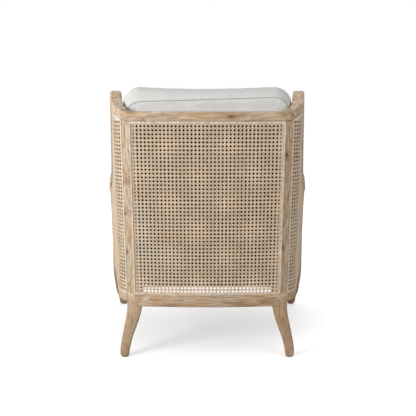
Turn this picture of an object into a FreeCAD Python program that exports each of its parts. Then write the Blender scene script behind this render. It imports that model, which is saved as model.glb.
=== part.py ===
import FreeCAD, Part
import math
import os
from FreeCAD import Vector

# Armchair with a cane back and cane sides, seen from above as a shell that opens towards the front.
# X runs across the chair, +X is the sitter's left. The front faces -Y and Z is up.
# "Ahead" is a distance towards the front, counted from the rear face of the posts at the sill.

# Back
back_lean = 8.0
sill_height = 216.0
cane_rise = 597.5
back_half_width = 280.0
post_width = 52.0
post_depth = 36.0
post_edge_radius = 4.0
post_turn_width = 26.0
post_turn_depth = 11.0
cane_half_width = 255.0
cane_bow = 15.0
cane_thickness = 2.5
bottom_rail_height = 45.0
bottom_rail_depth = 26.0
rail_proud = 3.0
small_edge_radius = 2.5

# Rear legs
rear_leg_splay = 33.0
rear_leg_sweep = 50.0
rear_leg_shares = (
    (1.0, 0.0, 0.0, 1.0),
    (0.79, 0.04, 0.03, 0.99),
    (0.60, 0.19, 0.14, 0.915),
    (0.463, 0.43, 0.30, 0.84),
    (0.347, 0.645, 0.46, 0.76),
    (0.231, 0.83, 0.65, 0.69),
    (0.093, 0.98, 0.90, 0.625),
    (0.0, 1.0, 1.0, 0.54),
)
leg_depth_share = 0.9
leg_turn_share = 0.3
leg_edge_radius = 7.0

# Plan line of the shell: bowed back, turn at the post, wide corner, straight flare
post_turn_radius = 58.6
wall_start_heading = 50.0
corner_radius = 108.0
wall_end_heading = 9.6
bow_end_inset = 7.0

# Crest, wings and arms, drawn as one line on the unrolled wall
crest_height = 33.5
crest_width = 38.0
crest_edge_radius = 8.0
wing_tip_run = 135.0
wing_tip_rise = 67.0
wing_line_shares = (
    (-0.46, 0.0),
    (-0.23, 0.0),
    (0.0, 0.09),
    (0.24, 0.23),
    (0.48, 0.40),
    (0.70, 0.63),
    (0.87, 0.88),
    (1.0, 1.0),
)
arm_bend_run = 300.0
arm_front_run = 600.0
arm_height = 596.0
arm_droop = 66.0
arm_section_height = 36.0
arm_swell = 4.0
arm_round = 13.0
wing_front_shares = (
    (0.12, 0.975),
    (0.24, 0.91),
    (0.36, 0.81),
    (0.57, 0.65),
    (0.78, 0.49),
    (0.98, 0.35),
    (1.16, 0.23),
    (1.34, 0.14),
    (1.57, 0.055),
    (1.78, 0.012),
)
arm_run_shares = (
    (0.77, 0.0),
    (0.85, 0.16),
    (0.93, 0.50),
    (1.0, 1.0),
)
arm_nose_length = 15.0
arm_nose_shares = ((0.0, 1.0), (0.35, 0.95), (0.68, 0.78), (0.9, 0.5), (1.0, 0.25))

# Front legs
front_leg_x = 371.0
front_leg_ahead = 545.0
front_leg_splay = 16.0
front_leg_sweep = 52.0
front_knee_width = 50.0
front_leg_shares = (
    (0.0, -0.40, 1.0, 0.54),
    (0.035, -0.35, 1.0, 0.66),
    (0.075, -0.20, 0.84, 0.70),
    (0.14, -0.04, 0.45, 0.80),
    (0.215, -0.02, 0.16, 0.88),
    (0.30, 0.0, 0.02, 0.98),
    (0.38, 0.0, 0.0, 1.0),
    (0.46, 0.04, -0.02, 0.98),
    (0.54, 0.10, -0.05, 0.95),
    (0.63, 0.22, -0.10, 0.89),
    (0.72, 0.36, -0.16, 0.83),
    (0.80, 0.47, -0.25, 0.79),
    (0.88, 0.55, -0.34, 0.77),
    (0.94, 0.60, -0.42, 0.77),
    (1.0, 0.64, -0.50, 0.78),
)
front_leg_degree = 3
wall_end_share = 0.3
glide_height = 5.0
glide_radius = 11.0

# Side seat rails and front rail
side_rail_height = 31.0
side_rail_thickness = 26.0
front_rail_thickness = 26.0
front_rail_bow = 26.0
front_rail_height = 74.0
front_rail_inset = 6.0
front_rail_edge_shares = (
    (1.0, 0.12),
    (0.86, 0.40),
    (0.62, 0.46),
    (0.38, 0.26),
    (0.16, 0.04),
    (0.0, 0.0),
)

# Seat frame, in its own plane that falls towards the rear
deck_fall = 4.0
deck_front_height = 310.0
deck_front_ahead = 545.0
board_height = 42.0
board_thickness = 22.0
rear_board_ahead = 20.0
rear_board_half = 250.0
rear_board_thickness = 44.0
block_leg = 55.0
block_margin = 4.0
screw_along_share = 0.55
screw_back_share = 0.2
screw_radius = 2.0
screw_length = 26.0
screw_head_radius = 4.0
screw_head_height = 2.5
webbing_width = 50.0
webbing_thickness = 1.5
webbing_count = 5
webbing_lap = 11.0
webbing_end_gap = 75.0
dust_cover_thickness = 1.0
dust_cover_margin = 12.0
deck_thickness = 12.0
band_thickness = 16.0

# Inside upholstery and linings
lining_thickness = 2.0
back_lining_ahead = 5.0
lining_base_rise = 27.0
back_pad_thickness = 18.0
back_pad_half = 250.0
back_pad_margin = 8.0
inner_rail_height = 45.0
inner_rail_rise = 70.0
side_pad_inset = 14.0
side_pad_thickness = 20.0
side_lining_inset = 9.0
side_lining_base = 520.0
wall_clear = 0.3

# Reed spline round the cane
spline_width = 5.0
spline_thickness = 2.0

# Cushions
cushion_gap = 0.3
cover_thickness = 2.0
core_gap = 0.3
seat_cushion_depth = 552.0
seat_cushion_rear_half = 280.0
seat_cushion_front_half = 338.0
seat_cushion_thickness = 138.0
seat_cushion_crown = 26.0
seat_cushion_draw = 7.0
back_cushion_half = 276.0
back_cushion_thickness = 112.0
back_cushion_crown = 34.0
back_cushion_draw = 6.0
back_cushion_base = 443.0
back_cushion_top = 912.0
cushion_bulge_share = 0.12
cushion_edge_lift_shares = (0.4, 0.5)
cushion_full_share = 0.9
seat_run_shares = (0.0, 0.025, 0.08, 0.2, 0.5, 0.8, 0.92, 0.975, 1.0)
seat_body_shares = (0.40, 0.76, 0.95, 1.0, 1.0, 1.0, 0.95, 0.76, 0.40)
seat_width_shares = (0.90, 0.965, 0.995, 1.0, 1.0, 1.0, 1.0, 0.975, 0.90)
seat_crown_shares = (0.15, 0.40, 0.65, 0.88, 1.0, 0.88, 0.65, 0.40, 0.15)
seat_draw_shares = (0.0, 0.0, 0.1, 0.6, 1.0, 0.6, 0.1, 0.0, 0.0)
back_run_shares = (0.0, 0.03, 0.10, 0.24, 0.5, 0.78, 0.90, 0.96, 0.99, 1.0)
back_body_shares = (0.42, 0.78, 0.96, 1.0, 1.0, 1.0, 0.95, 0.80, 0.56, 0.30)
back_width_shares = (0.92, 0.97, 0.995, 1.0, 1.0, 1.0, 0.985, 0.955, 0.90, 0.82)
back_crown_shares = (0.2, 0.5, 0.75, 0.9, 1.0, 0.9, 0.7, 0.5, 0.3, 0.1)
back_draw_shares = (0.0, 0.0, 0.1, 0.6, 1.0, 0.6, 0.2, 0.0, 0.0, 0.0)

# Sections of the lofted bars, and how far a cutting form passes what it cuts
crest_sections = 6
crest_turn_sections = 7
bar_sections = 9
stile_sections = 22
rail_sections = 12
turn_section_share = 0.8
turn_start_share = 0.7
rounding_share = 0.45
leg_round_share = 0.5
overrun = 60.0

# Dowels
dowel_radius = 4.0
dowel_length = 36.0

# Worked out from the sizes above
lean_rate = math.tan(math.radians(back_lean))
lean_line = Vector(0, lean_rate, 1)
lean_axis = Vector(0, math.sin(math.radians(back_lean)), math.cos(math.radians(back_lean)))
crest_base = sill_height + cane_rise
crest_centre = crest_base + crest_height / 2
wing_tip_top = crest_centre + wing_tip_rise + crest_height / 2
crest_half = crest_height / 2
crest_section = (-rail_proud, crest_width - rail_proud, -crest_half, crest_half, crest_edge_radius)
rear_reach = (crest_base - sill_height + crest_height - crest_edge_radius) * lean_rate + cane_bow + rail_proud
bow_radius = (cane_half_width ** 2 + cane_bow ** 2) / (2 * cane_bow)
bow_end_x = cane_half_width - bow_end_inset
start_heading = math.radians(wall_start_heading)
end_heading = math.radians(wall_end_heading)
foot_half = front_knee_width * front_leg_shares[1][3] / 2 * (math.cos(end_heading) + math.sin(end_heading))
front_reach = front_leg_ahead + front_leg_sweep + foot_half
back_line = (front_reach - rear_reach) / 2
bow_end_heading = math.acos(bow_end_x / bow_radius)
post_turn_length = post_turn_radius * (bow_end_heading - start_heading)
corner_length = corner_radius * (start_heading - end_heading)
bow_length = bow_radius * (math.pi / 2 - bow_end_heading)
wall_start_x = bow_end_x + post_turn_radius * (math.cos(start_heading) - math.cos(bow_end_heading))
bow_end_ahead = bow_radius * (1 - math.sin(bow_end_heading)) - cane_bow
wall_start_ahead = bow_end_ahead + post_turn_radius * (math.sin(bow_end_heading) - math.sin(start_heading))
wall_limit = arm_front_run + 2 * overrun
rear_board_front = rear_board_ahead + rear_board_thickness
front_board_front = front_leg_ahead + board_thickness / 2


def back_y(height):
    """Y of the leaning plane of the posts' rear faces at a height."""
    return back_line + (height - sill_height) * lean_rate


def place(x, ahead, height):
    """Point at a distance ahead of the leaning back plane."""
    return Vector(x, back_y(height) - ahead, height)


def level(x, ahead, height):
    """Point at a distance ahead of the back line at the sill, without the lean."""
    return Vector(x, back_line - ahead, height)


def arc_end(x, ahead, radius, heading, new_heading):
    """End of a plan arc that turns from one heading to another."""
    across = radius * (math.cos(new_heading) - math.cos(heading))
    forward = radius * (math.sin(heading) - math.sin(new_heading))
    return x + across, ahead + forward


def wall_plan(run):
    """Plan position and heading of the shell line; run is 0 where the wall leaves the post."""
    if run < -post_turn_length:
        heading = bow_end_heading + (-post_turn_length - run) / bow_radius
        x, ahead = arc_end(bow_end_x, bow_end_ahead, bow_radius, bow_end_heading, heading)
        return x, ahead, heading
    if run < 0:
        heading = start_heading - run / post_turn_radius
        x, ahead = arc_end(wall_start_x, wall_start_ahead, post_turn_radius, start_heading, heading)
        return x, ahead, heading
    turned = min(run, corner_length)
    heading = start_heading - turned / corner_radius
    x, ahead = arc_end(wall_start_x, wall_start_ahead, corner_radius, start_heading, heading)
    straight = run - turned
    return x + straight * math.sin(heading), ahead + straight * math.cos(heading), heading


def wall_outward(run):
    """Level direction out of the wall."""
    heading = wall_plan(run)[2]
    return Vector(math.cos(heading), math.sin(heading), 0)


def wall_point(run, height, inset):
    """Point of the wall at a depth inside its outer surface."""
    x, ahead, heading = wall_plan(run)
    return place(x, ahead, height) - wall_outward(run) * inset


def wall_frame(run, height, run_step, height_step):
    """Origin, outward and upper directions of a section of a bar that follows the wall."""
    heading = wall_plan(run)[2]
    rearward = lean_rate * height_step - math.cos(heading) * run_step
    along = Vector(math.sin(heading) * run_step, rearward, height_step)
    along.normalize()
    outward = wall_outward(run)
    upper = along.cross(outward)
    upper.normalize()
    return wall_point(run, height, 0), outward, upper


def rounded_section(corners, radius):
    """Closed wire through four corners, each rounded by an arc; sharp where the radius is zero."""
    if not radius:
        return Part.makePolygon(corners + corners[:1])
    edges = []
    count = len(corners)
    starts = []
    ends = []
    for i in range(count):
        corner = corners[i]
        before = corners[i - 1] - corner
        after = corners[(i + 1) % count] - corner
        reach = min(radius, before.Length * rounding_share, after.Length * rounding_share)
        before.normalize()
        after.normalize()
        middle = corner + (before + after) * reach * (1 - math.sqrt(0.5))
        starts.append(corner + before * reach)
        ends.append((middle, corner + after * reach))
    for i in range(count):
        middle, leave = ends[i]
        edges.append(Part.Arc(starts[i], middle, leave).toShape())
        edges.append(Part.makeLine(leave, starts[(i + 1) % count]))
    return Part.Wire(edges)


def frame_section(frame, inset_from, inset_to, low, high, radius, mirrored=False):
    """Rounded section of a bar in a wall frame."""
    origin, outward, upper = frame
    corners = []
    for inset, lift in ((inset_from, low), (inset_to, low), (inset_to, high), (inset_from, high)):
        point = origin - outward * inset + upper * lift
        if mirrored:
            point = Vector(-point.x, point.y, point.z)
        corners.append(point)
    return rounded_section(corners, radius)


def mirror(shape):
    """Copy on the other side of the chair."""
    return shape.mirror(Vector(0, 0, 0), Vector(1, 0, 0))


def box_between(x_from, x_to, y_from, y_to, z_from, z_to):
    """Upright box between limits."""
    return Part.makeBox(x_to - x_from, y_to - y_from, z_to - z_from, Vector(x_from, y_from, z_from))


def largest(shape):
    """Largest solid of a shape."""
    return max(shape.Solids, key=lambda solid: solid.Volume)


def cut_by(shape, tools):
    """Shape less a list of tools, as its largest solid."""
    return largest(shape.cut(tools))


def frame_line():
    """Centre line of crest, wing and arm on the unrolled wall, as run and height."""
    points = []
    for run_share, rise_share in wing_line_shares:
        points.append(Vector(run_share * wing_tip_run, crest_centre + rise_share * wing_tip_rise, 0))
    tip_height = crest_centre + wing_tip_rise
    arm_line = arm_height - arm_section_height / 2
    for run_share, rise_share in wing_front_shares:
        front_run = wing_tip_run + (arm_bend_run - wing_tip_run) * run_share
        points.append(Vector(front_run, arm_line + rise_share * (tip_height - arm_line), 0))
    for run_share, droop_share in arm_run_shares:
        points.append(Vector(arm_front_run * run_share, arm_line - arm_droop * droop_share, 0))
    curve = Part.BSplineCurve()
    curve.interpolate(points)
    return curve


line = frame_line()
post_mark = line.parameter(Vector(0, crest_centre + wing_line_shares[2][1] * wing_tip_rise, 0))
tip_mark = line.parameter(Vector(wing_tip_run, crest_centre + wing_tip_rise, 0))
arm_start = Vector(arm_front_run * arm_run_shares[0][0], arm_height - arm_section_height / 2, 0)
arm_mark = line.parameter(arm_start)


def line_frame(mark):
    """Section frame at a parameter of the frame line."""
    spot = line.value(mark)
    step = line.tangent(mark)[0]
    return wall_frame(spot.x, spot.y, step.x, step.y)


def line_bar(marks, inset_from, inset_to, low, high, radius):
    """Bar along the frame line through sections at a list of parameters."""
    wires = []
    for mark in marks:
        wires.append(frame_section(line_frame(mark), inset_from, inset_to, low, high, radius))
    return Part.makeLoft(wires, True, False)


def spread(start, end, count):
    """Evenly spaced values from start to end."""
    return [start + (end - start) * i / (count - 1) for i in range(count)]


def level_bar(run_from, run_to, count, inset_from, inset_to, base, top, radius):
    """Level bar along the wall."""
    wires = []
    for run in spread(run_from, run_to, count):
        frame = wall_frame(run, base, 1, 0)
        wires.append(frame_section(frame, inset_from, inset_to, 0, top - base, radius))
    return Part.makeLoft(wires, True, False)


def wall_sheet(inset_from, inset_to, run_from, run_to, base, top):
    """Sheet that follows the wall, extruded along the lean."""
    edges = []
    marks = [run_from, corner_length, run_to]
    outer = [wall_point(run, base, inset_from) for run in marks]
    inner = [wall_point(run, base, inset_to) for run in marks]
    middle_run = (run_from + corner_length) / 2
    edges.append(Part.Arc(outer[0], wall_point(middle_run, base, inset_from), outer[1]).toShape())
    edges.append(Part.makeLine(outer[1], outer[2]))
    edges.append(Part.makeLine(outer[2], inner[2]))
    edges.append(Part.makeLine(inner[2], inner[1]))
    edges.append(Part.Arc(inner[1], wall_point(middle_run, base, inset_to), inner[0]).toShape())
    edges.append(Part.makeLine(inner[0], outer[0]))
    return Part.Face(Part.Wire(edges)).extrude(lean_line * (top - base))


def bowed_plate(half, inset_from, inset_to, base, top, direction):
    """Plate that follows the bow of the back between two heights."""
    edges = []
    points = []
    for inset in (inset_from, inset_to):
        radius = bow_radius - inset
        drop = radius - math.sqrt(radius ** 2 - half ** 2)
        crown = cane_bow - inset
        ends = drop - crown
        points.append((place(-half, ends, base), place(0, -crown, base), place(half, ends, base)))
    rear, front = points
    edges.append(Part.Arc(rear[0], rear[1], rear[2]).toShape())
    edges.append(Part.makeLine(rear[2], front[2]))
    edges.append(Part.Arc(front[2], front[1], front[0]).toShape())
    edges.append(Part.makeLine(front[0], rear[0]))
    return Part.Face(Part.Wire(edges)).extrude(direction * (top - base))


def make_crest():
    """Crest rail across the back, up to the joints with the wing rails."""
    runs = spread(-post_turn_length - bow_length, -post_turn_length, crest_sections)
    half = []
    for run in runs[1:] + [-post_turn_length * turn_section_share]:
        half.append(wall_frame(run, crest_centre, 1, 0))
    for mark in spread(line.FirstParameter, post_mark, crest_turn_sections):
        if line.value(mark).x > -post_turn_length * turn_start_share:
            half.append(line_frame(mark))
    centre = wall_frame(runs[0], crest_centre, 1, 0)
    wires = [frame_section(frame, *crest_section, mirrored=True) for frame in reversed(half)]
    wires.append(frame_section(centre, *crest_section))
    wires.extend(frame_section(frame, *crest_section) for frame in half)
    return Part.makeLoft(wires, True, False)


def make_wing_rail():
    """Rail that carries the crest round the corner and up to the wing tip."""
    return line_bar(spread(post_mark, tip_mark, bar_sections), *crest_section)


def make_wing_stile():
    """Front edge of the wing, from its tip down to the arm."""
    return line_bar(spread(tip_mark, arm_mark, stile_sections), *crest_section)


def arm_section(frame, share, size_share=1.0):
    """Section of the arm at a share of its length, made smaller towards the nose."""
    half_height = (crest_height + (arm_section_height - crest_height) * share) / 2
    swell = arm_swell * share
    middle = crest_width / 2 - rail_proud
    half_width = crest_width / 2 + swell - half_height * (1 - size_share)
    radius = (crest_edge_radius + (arm_round - crest_edge_radius) * share) * size_share
    half_height *= size_share
    return frame_section(frame, middle - half_width, middle + half_width, -half_height, half_height, radius)


def make_arm():
    """Arm rail that widens towards its rounded front end."""
    marks = spread(arm_mark, line.LastParameter, bar_sections)
    wires = []
    for i, mark in enumerate(marks):
        wires.append(arm_section(line_frame(mark), i / (len(marks) - 1)))
    bar = Part.makeLoft(wires, True, False)
    origin, outward, upper = line_frame(line.LastParameter)
    along = outward.cross(upper)
    nose_wires = []
    for run_share, size_share in arm_nose_shares:
        frame = (origin + along * arm_nose_length * run_share, outward, upper)
        nose_wires.append(arm_section(frame, 1.0, size_share))
    nose = Part.makeLoft(nose_wires, True, False)
    return largest(bar.fuse(nose))


def square_section(x, ahead, height, width, depth, turn, radius):
    """Level rounded section of a front leg, turned to the wall."""
    centre = level(x, ahead, height)
    across = Vector(math.cos(turn), -math.sin(turn), 0)
    forward = Vector(-math.sin(turn), -math.cos(turn), 0)
    corners = []
    for i, j in ((-1, -1), (1, -1), (1, 1), (-1, 1)):
        corners.append(centre + across * (i * width / 2) + forward * (j * depth / 2))
    return rounded_section(corners, radius)


def post_section(x, ahead, height, width, depth, turn_share, radius, leaning=False):
    """Level section of a rear leg, its outer rear corner cut back along the shell."""
    centre = place(x, ahead, height) if leaning else level(x, ahead, height)
    cut_width = post_turn_width * turn_share
    cut_depth = post_turn_depth * turn_share
    corners = [
        centre + Vector(-width / 2, depth / 2, 0),
        centre + Vector(width / 2 - cut_width, depth / 2, 0),
        centre + Vector(width / 2, depth / 2 - cut_depth, 0),
        centre + Vector(width / 2, -depth / 2, 0),
        centre + Vector(-width / 2, -depth / 2, 0),
    ]
    return rounded_section(corners, radius)


def make_rear_leg():
    """Rear post and sabre leg in one piece."""
    centre_x = back_half_width - post_width / 2
    wires = []
    for height_share, splay_share, sweep_share, width_share in rear_leg_shares:
        height = glide_height + (sill_height - glide_height) * height_share
        width = post_width * width_share
        depth = post_depth * (leg_depth_share * width_share + 1 - leg_depth_share)
        x = centre_x + rear_leg_splay * splay_share
        ahead = post_depth / 2 - rear_leg_sweep * sweep_share
        rounded = min(1, (1 - height_share) / leg_round_share)
        radius = post_edge_radius + (leg_edge_radius - post_edge_radius) * rounded
        turn_share = leg_turn_share + (1 - leg_turn_share) * height_share
        wires.append(post_section(x, ahead, height, width, depth, turn_share, radius))
    leg = Part.makeLoft(wires, True, False)
    post_wires = []
    for height in (sill_height, crest_centre):
        wire = post_section(centre_x, post_depth / 2, height, post_width, post_depth, 1, post_edge_radius, True)
        post_wires.append(wire)
    post = Part.makeLoft(post_wires, True, True)
    return largest(leg.fuse(post))


def make_front_leg(margin=0):
    """Front leg that runs on upwards as the arm post, grown by a margin on every side."""
    wires = []
    top = arm_height - arm_droop
    for height_share, splay_share, sweep_share, width_share in front_leg_shares:
        height = glide_height + (top - glide_height) * height_share
        width = front_knee_width * width_share + 2 * margin
        x = front_leg_x + front_leg_splay * splay_share
        ahead = front_leg_ahead + front_leg_sweep * sweep_share
        wires.append(square_section(x, ahead, height, width, width, end_heading, leg_edge_radius))
    return Part.makeLoft(wires, True, False, False, front_leg_degree)


def make_glide(x, ahead):
    """Round glide under a foot."""
    return Part.makeCylinder(glide_radius, glide_height, level(x, ahead, 0))


def make_bottom_rail():
    """Bottom back rail, bowed like the cane."""
    half = cane_half_width - spline_width / 2
    base = sill_height - bottom_rail_height
    rail = bowed_plate(half, -rail_proud, bottom_rail_depth, base, sill_height, Vector(0, 0, 1))
    rail.translate(Vector(0, back_y(sill_height) - back_y(base), 0))
    return rail.makeFillet(small_edge_radius, rail.Edges)


def make_side_rail():
    """Seat rail that follows the wall from the rear post to the front leg."""
    base = sill_height - side_rail_height
    front = front_leg_ahead / math.cos(end_heading)
    inner = side_rail_thickness - rail_proud
    return level_bar(0, front, rail_sections, -rail_proud, inner, base, sill_height, small_edge_radius)


def front_arc_face(inset, thickness, bow, half, height):
    """Plan face of a bowed bar between the front legs."""
    front = front_leg_ahead + front_knee_width / 2 - inset
    points = []
    for offset in (0, -thickness):
        ends = front + offset
        points.append((level(-half, ends, height), level(0, ends + bow, height), level(half, ends, height)))
    outer, inner = points
    edges = [
        Part.Arc(outer[0], outer[1], outer[2]).toShape(),
        Part.makeLine(outer[2], inner[2]),
        Part.Arc(inner[2], inner[1], inner[0]).toShape(),
        Part.makeLine(inner[0], outer[0]),
    ]
    return Part.Face(Part.Wire(edges))


def make_front_rail(legs):
    """Shaped show-wood rail between the front legs."""
    top = sill_height - side_rail_height + front_rail_height
    base = top - front_rail_height
    half = front_leg_x
    face = front_arc_face(front_rail_inset, front_rail_thickness, front_rail_bow, half, base)
    bar = face.extrude(Vector(0, 0, front_rail_height))
    points = []
    for run_share, rise_share in front_rail_edge_shares:
        points.append(level(-half * run_share, 0, base + rise_share * front_rail_height))
    for run_share, rise_share in reversed(front_rail_edge_shares[:-1]):
        points.append(level(half * run_share, 0, base + rise_share * front_rail_height))
    edge = Part.BSplineCurve()
    edge.interpolate(points)
    low_left = level(-half, 0, base - front_rail_height)
    low_right = level(half, 0, base - front_rail_height)
    outline = Part.Wire([
        edge.toShape(),
        Part.makeLine(points[-1], low_right),
        Part.makeLine(low_right, low_left),
        Part.makeLine(low_left, points[0]),
    ])
    cutter = Part.Face(outline).extrude(Vector(0, -2 * front_leg_ahead, 0))
    return cut_by(bar, [cutter] + legs)


def tilt(shape):
    """Shape drawn level at the seat plane, tipped with the seat's fall about its front edge."""
    turned = shape.copy()
    turned.rotate(level(0, deck_front_ahead, deck_front_height), Vector(1, 0, 0), -deck_fall)
    return turned


def seat_point(x, ahead, lift):
    """Point of the level drawing of the seat, lifted above its plane."""
    return level(x, ahead, deck_front_height + lift)


def prism(points, low, high):
    """Upright prism over plan points of the seat drawing, tipped with the seat."""
    corners = [seat_point(x, ahead, low) for x, ahead in points]
    face = Part.Face(Part.makePolygon(corners + corners[:1]))
    return tilt(face.extrude(Vector(0, 0, high - low)))


def board_lines():
    """Plan corners of the seat frame: rear and front, outer faces."""
    front_half = front_leg_x - front_knee_width / 2 + board_thickness / 2
    return rear_board_half, front_half


def make_side_board(legs):
    """Sloping side board of the seat frame between the rear post and the front leg."""
    rear_half, front_half = board_lines()
    points = (
        (rear_half, rear_board_ahead),
        (front_half, front_leg_ahead),
        (front_half - board_thickness, front_leg_ahead),
        (rear_half - board_thickness, rear_board_ahead),
    )
    return cut_by(prism(points, -board_height, 0), legs)


def make_rear_board(posts, sides):
    """Rear board of the seat frame, on the front faces of the posts."""
    half = rear_board_half
    start = rear_board_ahead
    end = rear_board_front
    points = ((-half, start), (half, start), (half, end), (-half, end))
    return cut_by(prism(points, -board_height, 0), posts + sides)


def make_front_board(legs, sides):
    """Front board of the seat frame between the front legs."""
    half = front_leg_x
    end = front_board_front
    start = end - board_thickness
    points = ((-half, start), (half, start), (half, end), (-half, end))
    return cut_by(prism(points, -board_height, 0), legs + sides)


def make_block(corner, along_side, along_board):
    """Triangular corner block of the seat frame."""
    points = (
        corner,
        (corner[0] + along_side[0] * block_leg, corner[1] + along_side[1] * block_leg),
        (corner[0] + along_board[0] * block_leg, corner[1] + along_board[1] * block_leg),
    )
    return prism(points, block_margin - board_height, -block_margin)


def frame_corners():
    """Inner corners of the seat frame on the left side, with the directions along both boards."""
    rear_half, front_half = board_lines()
    run = Vector(front_half - rear_half, front_leg_ahead - rear_board_ahead, 0)
    run.normalize()
    inner_rear = rear_board_front
    inner_front = front_board_front - board_thickness
    thickness = board_thickness / run.y
    rear_x = rear_half - thickness + (inner_rear - rear_board_ahead) * run.x / run.y
    front_x = rear_half - thickness + (inner_front - rear_board_ahead) * run.x / run.y
    rear = ((rear_x, inner_rear), (run.x, run.y), (-1, 0))
    front = ((front_x, inner_front), (-run.x, -run.y), (-1, 0))
    return rear, front


def make_block_screws(corner, along_side, along_board):
    """Two screws that hold a corner block to its boards."""
    screws = []
    for along, other in ((along_side, along_board), (along_board, along_side)):
        start = []
        for i in range(2):
            step = along[i] * screw_along_share + other[i] * screw_back_share
            start.append(corner[i] + block_leg * step)
        normal = Vector(other[0], -other[1], 0)
        side = Vector(along[0], -along[1], 0)
        normal = normal - side * normal.dot(side)
        normal.normalize()
        point = seat_point(start[0], start[1], -board_height / 2)
        shank = Part.makeCylinder(screw_radius, screw_length, point, normal * -1)
        head = Part.makeCylinder(screw_head_radius, screw_head_height, point, normal * -1)
        screws.append(tilt(shank.fuse(head).removeSplitter()))
    return screws


def strip(x_from, x_to, ahead_from, ahead_to, low, high):
    """Flat strip in the seat drawing."""
    return prism(((x_from, ahead_from), (x_to, ahead_from), (x_to, ahead_to), (x_from, ahead_to)), low, high)


def seat_half(ahead):
    """Half width of the seat frame's middle line at a place ahead."""
    rear_half, front_half = board_lines()
    share = (ahead - rear_board_ahead) / (front_leg_ahead - rear_board_ahead)
    return rear_half + (front_half - rear_half) * share - board_thickness / 2


def make_webbing():
    """Lengthwise straps and the crosswise straps that lie on them."""
    lengthwise = []
    crosswise = []
    reach = rear_board_half - board_thickness - webbing_width
    start = rear_board_front - webbing_lap
    end = front_board_front - webbing_lap
    edge = webbing_width / 2
    for x in spread(-reach, reach, webbing_count):
        lengthwise.append(strip(x - edge, x + edge, start, end, 0, webbing_thickness))
    for ahead in spread(start + webbing_end_gap, end - webbing_end_gap, webbing_count):
        half = seat_half(ahead)
        rise = webbing_thickness
        crosswise.append(strip(-half, half, ahead - edge, ahead + edge, rise, 2 * rise))
    return Part.makeCompound(lengthwise), Part.makeCompound(crosswise)


def deck_outline(margin):
    """Plan corners of a sheet over or under the seat frame, drawn in by a margin."""
    start = rear_board_front - webbing_lap + margin
    end = front_board_front - margin
    rear_half = seat_half(start) - margin
    front_half = seat_half(end) - margin
    return ((-rear_half, start), (rear_half, start), (front_half, end), (-front_half, end))


def make_deck(legs):
    """Platform pad under the seat cushion."""
    low = 2 * webbing_thickness
    return cut_by(prism(deck_outline(0), low, low + deck_thickness), legs)


def make_dust_cover(legs):
    """Cloth under the seat frame."""
    low = -board_height - dust_cover_thickness
    return cut_by(prism(deck_outline(dust_cover_margin), low, -board_height), legs)


def make_band(tools):
    """Linen-covered edge over the front rail."""
    base = sill_height - side_rail_height + front_rail_height
    top = deck_front_height + 2 * webbing_thickness + deck_thickness
    inset = front_rail_inset + rail_proud
    face = front_arc_face(inset, band_thickness, front_rail_bow, front_leg_x, base)
    return cut_by(face.extrude(Vector(0, 0, top - base)), tools)


def front_space():
    """Space in front of the plane where the side panels end, inside the front legs."""
    end = front_leg_ahead - front_knee_width * wall_end_share
    side = front_leg_x + 2 * overrun
    return box_between(0, side, back_line - end - wall_limit, back_line - end, 0, wing_tip_top + overrun)


def side_opening_sheet(inset, thickness, base, tools):
    """Sheet that fills the side opening above a height, cut to the frame round it."""
    sheet = wall_sheet(inset, inset + thickness, wall_clear, wall_limit, base, wing_tip_top + crest_height)
    sheet = sheet.cut(front_space())
    pieces = sheet.cut(tools).Solids
    inside = wall_point(corner_length / 2, (base + crest_base) / 2, inset + thickness / 2)
    for piece in pieces:
        if piece.isInside(inside, wall_clear, True):
            return piece
    raise ValueError("the side opening is not closed")


def spline_bar(marks, half_height):
    """Reed strip along the lower edge of a bar on the frame line."""
    wires = []
    for mark in marks:
        wires.append(frame_section(line_frame(mark), -spline_thickness, 0, -half_height - spline_width, 0, 0))
    return Part.makeLoft(wires, True, False)


def make_side_splines(tools, grown_leg):
    """Reed strips round a side cane panel."""
    outer = -spline_thickness
    low_top = sill_height + spline_width
    arm_half = (crest_height + arm_section_height) / 4
    strips = [
        level_bar(wall_clear, front_leg_ahead, rail_sections, outer, 0, sill_height, low_top, 0),
        spline_bar(spread(post_mark, tip_mark, bar_sections), crest_height / 2),
        spline_bar(spread(tip_mark, arm_mark, stile_sections), crest_height / 2),
        spline_bar(spread(arm_mark, line.LastParameter, bar_sections), arm_half),
    ]
    sheet = wall_sheet(outer, 0, wall_clear, wall_limit, sill_height, crest_base + crest_height)
    cutter = wall_sheet(outer - rail_proud, rail_proud, wall_clear + spline_width, wall_limit + overrun,
                        sill_height - spline_width, crest_base + crest_height + overrun)
    strips.append(sheet.cut(cutter))
    strips.append(sheet.common(grown_leg).cut(front_space()))
    solids = []
    for piece in strips:
        for tool in tools + solids:
            piece = piece.cut(tool)
        solids.append(largest(piece))
    return Part.makeCompound(solids)


def make_back_splines(tools):
    """Reed strips round the back cane."""
    outer = -spline_thickness
    half = cane_half_width
    low_top = sill_height + spline_width
    high_base = crest_base - spline_width
    inner_half = half - spline_width
    low = bowed_plate(half, outer, 0, sill_height, low_top, lean_line)
    high = bowed_plate(half, outer, 0, high_base, crest_base + rail_proud, lean_line)
    shell = bowed_plate(half, outer, 0, low_top, high_base, lean_line)
    core = bowed_plate(inner_half, outer - rail_proud, rail_proud, sill_height, crest_base, lean_line)
    solids = shell.cut(core).Solids
    for piece in (low, high):
        solids.append(cut_by(piece, tools))
    return Part.makeCompound(solids)


def leaning_box(half, ahead_from, ahead_to, base, top):
    """Panel that leans with the back."""
    corners = [
        place(-half, ahead_from, base),
        place(half, ahead_from, base),
        place(half, ahead_to, base),
        place(-half, ahead_to, base),
    ]
    face = Part.Face(Part.makePolygon(corners + corners[:1]))
    return face.extrude(lean_line * (top - base))


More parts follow.
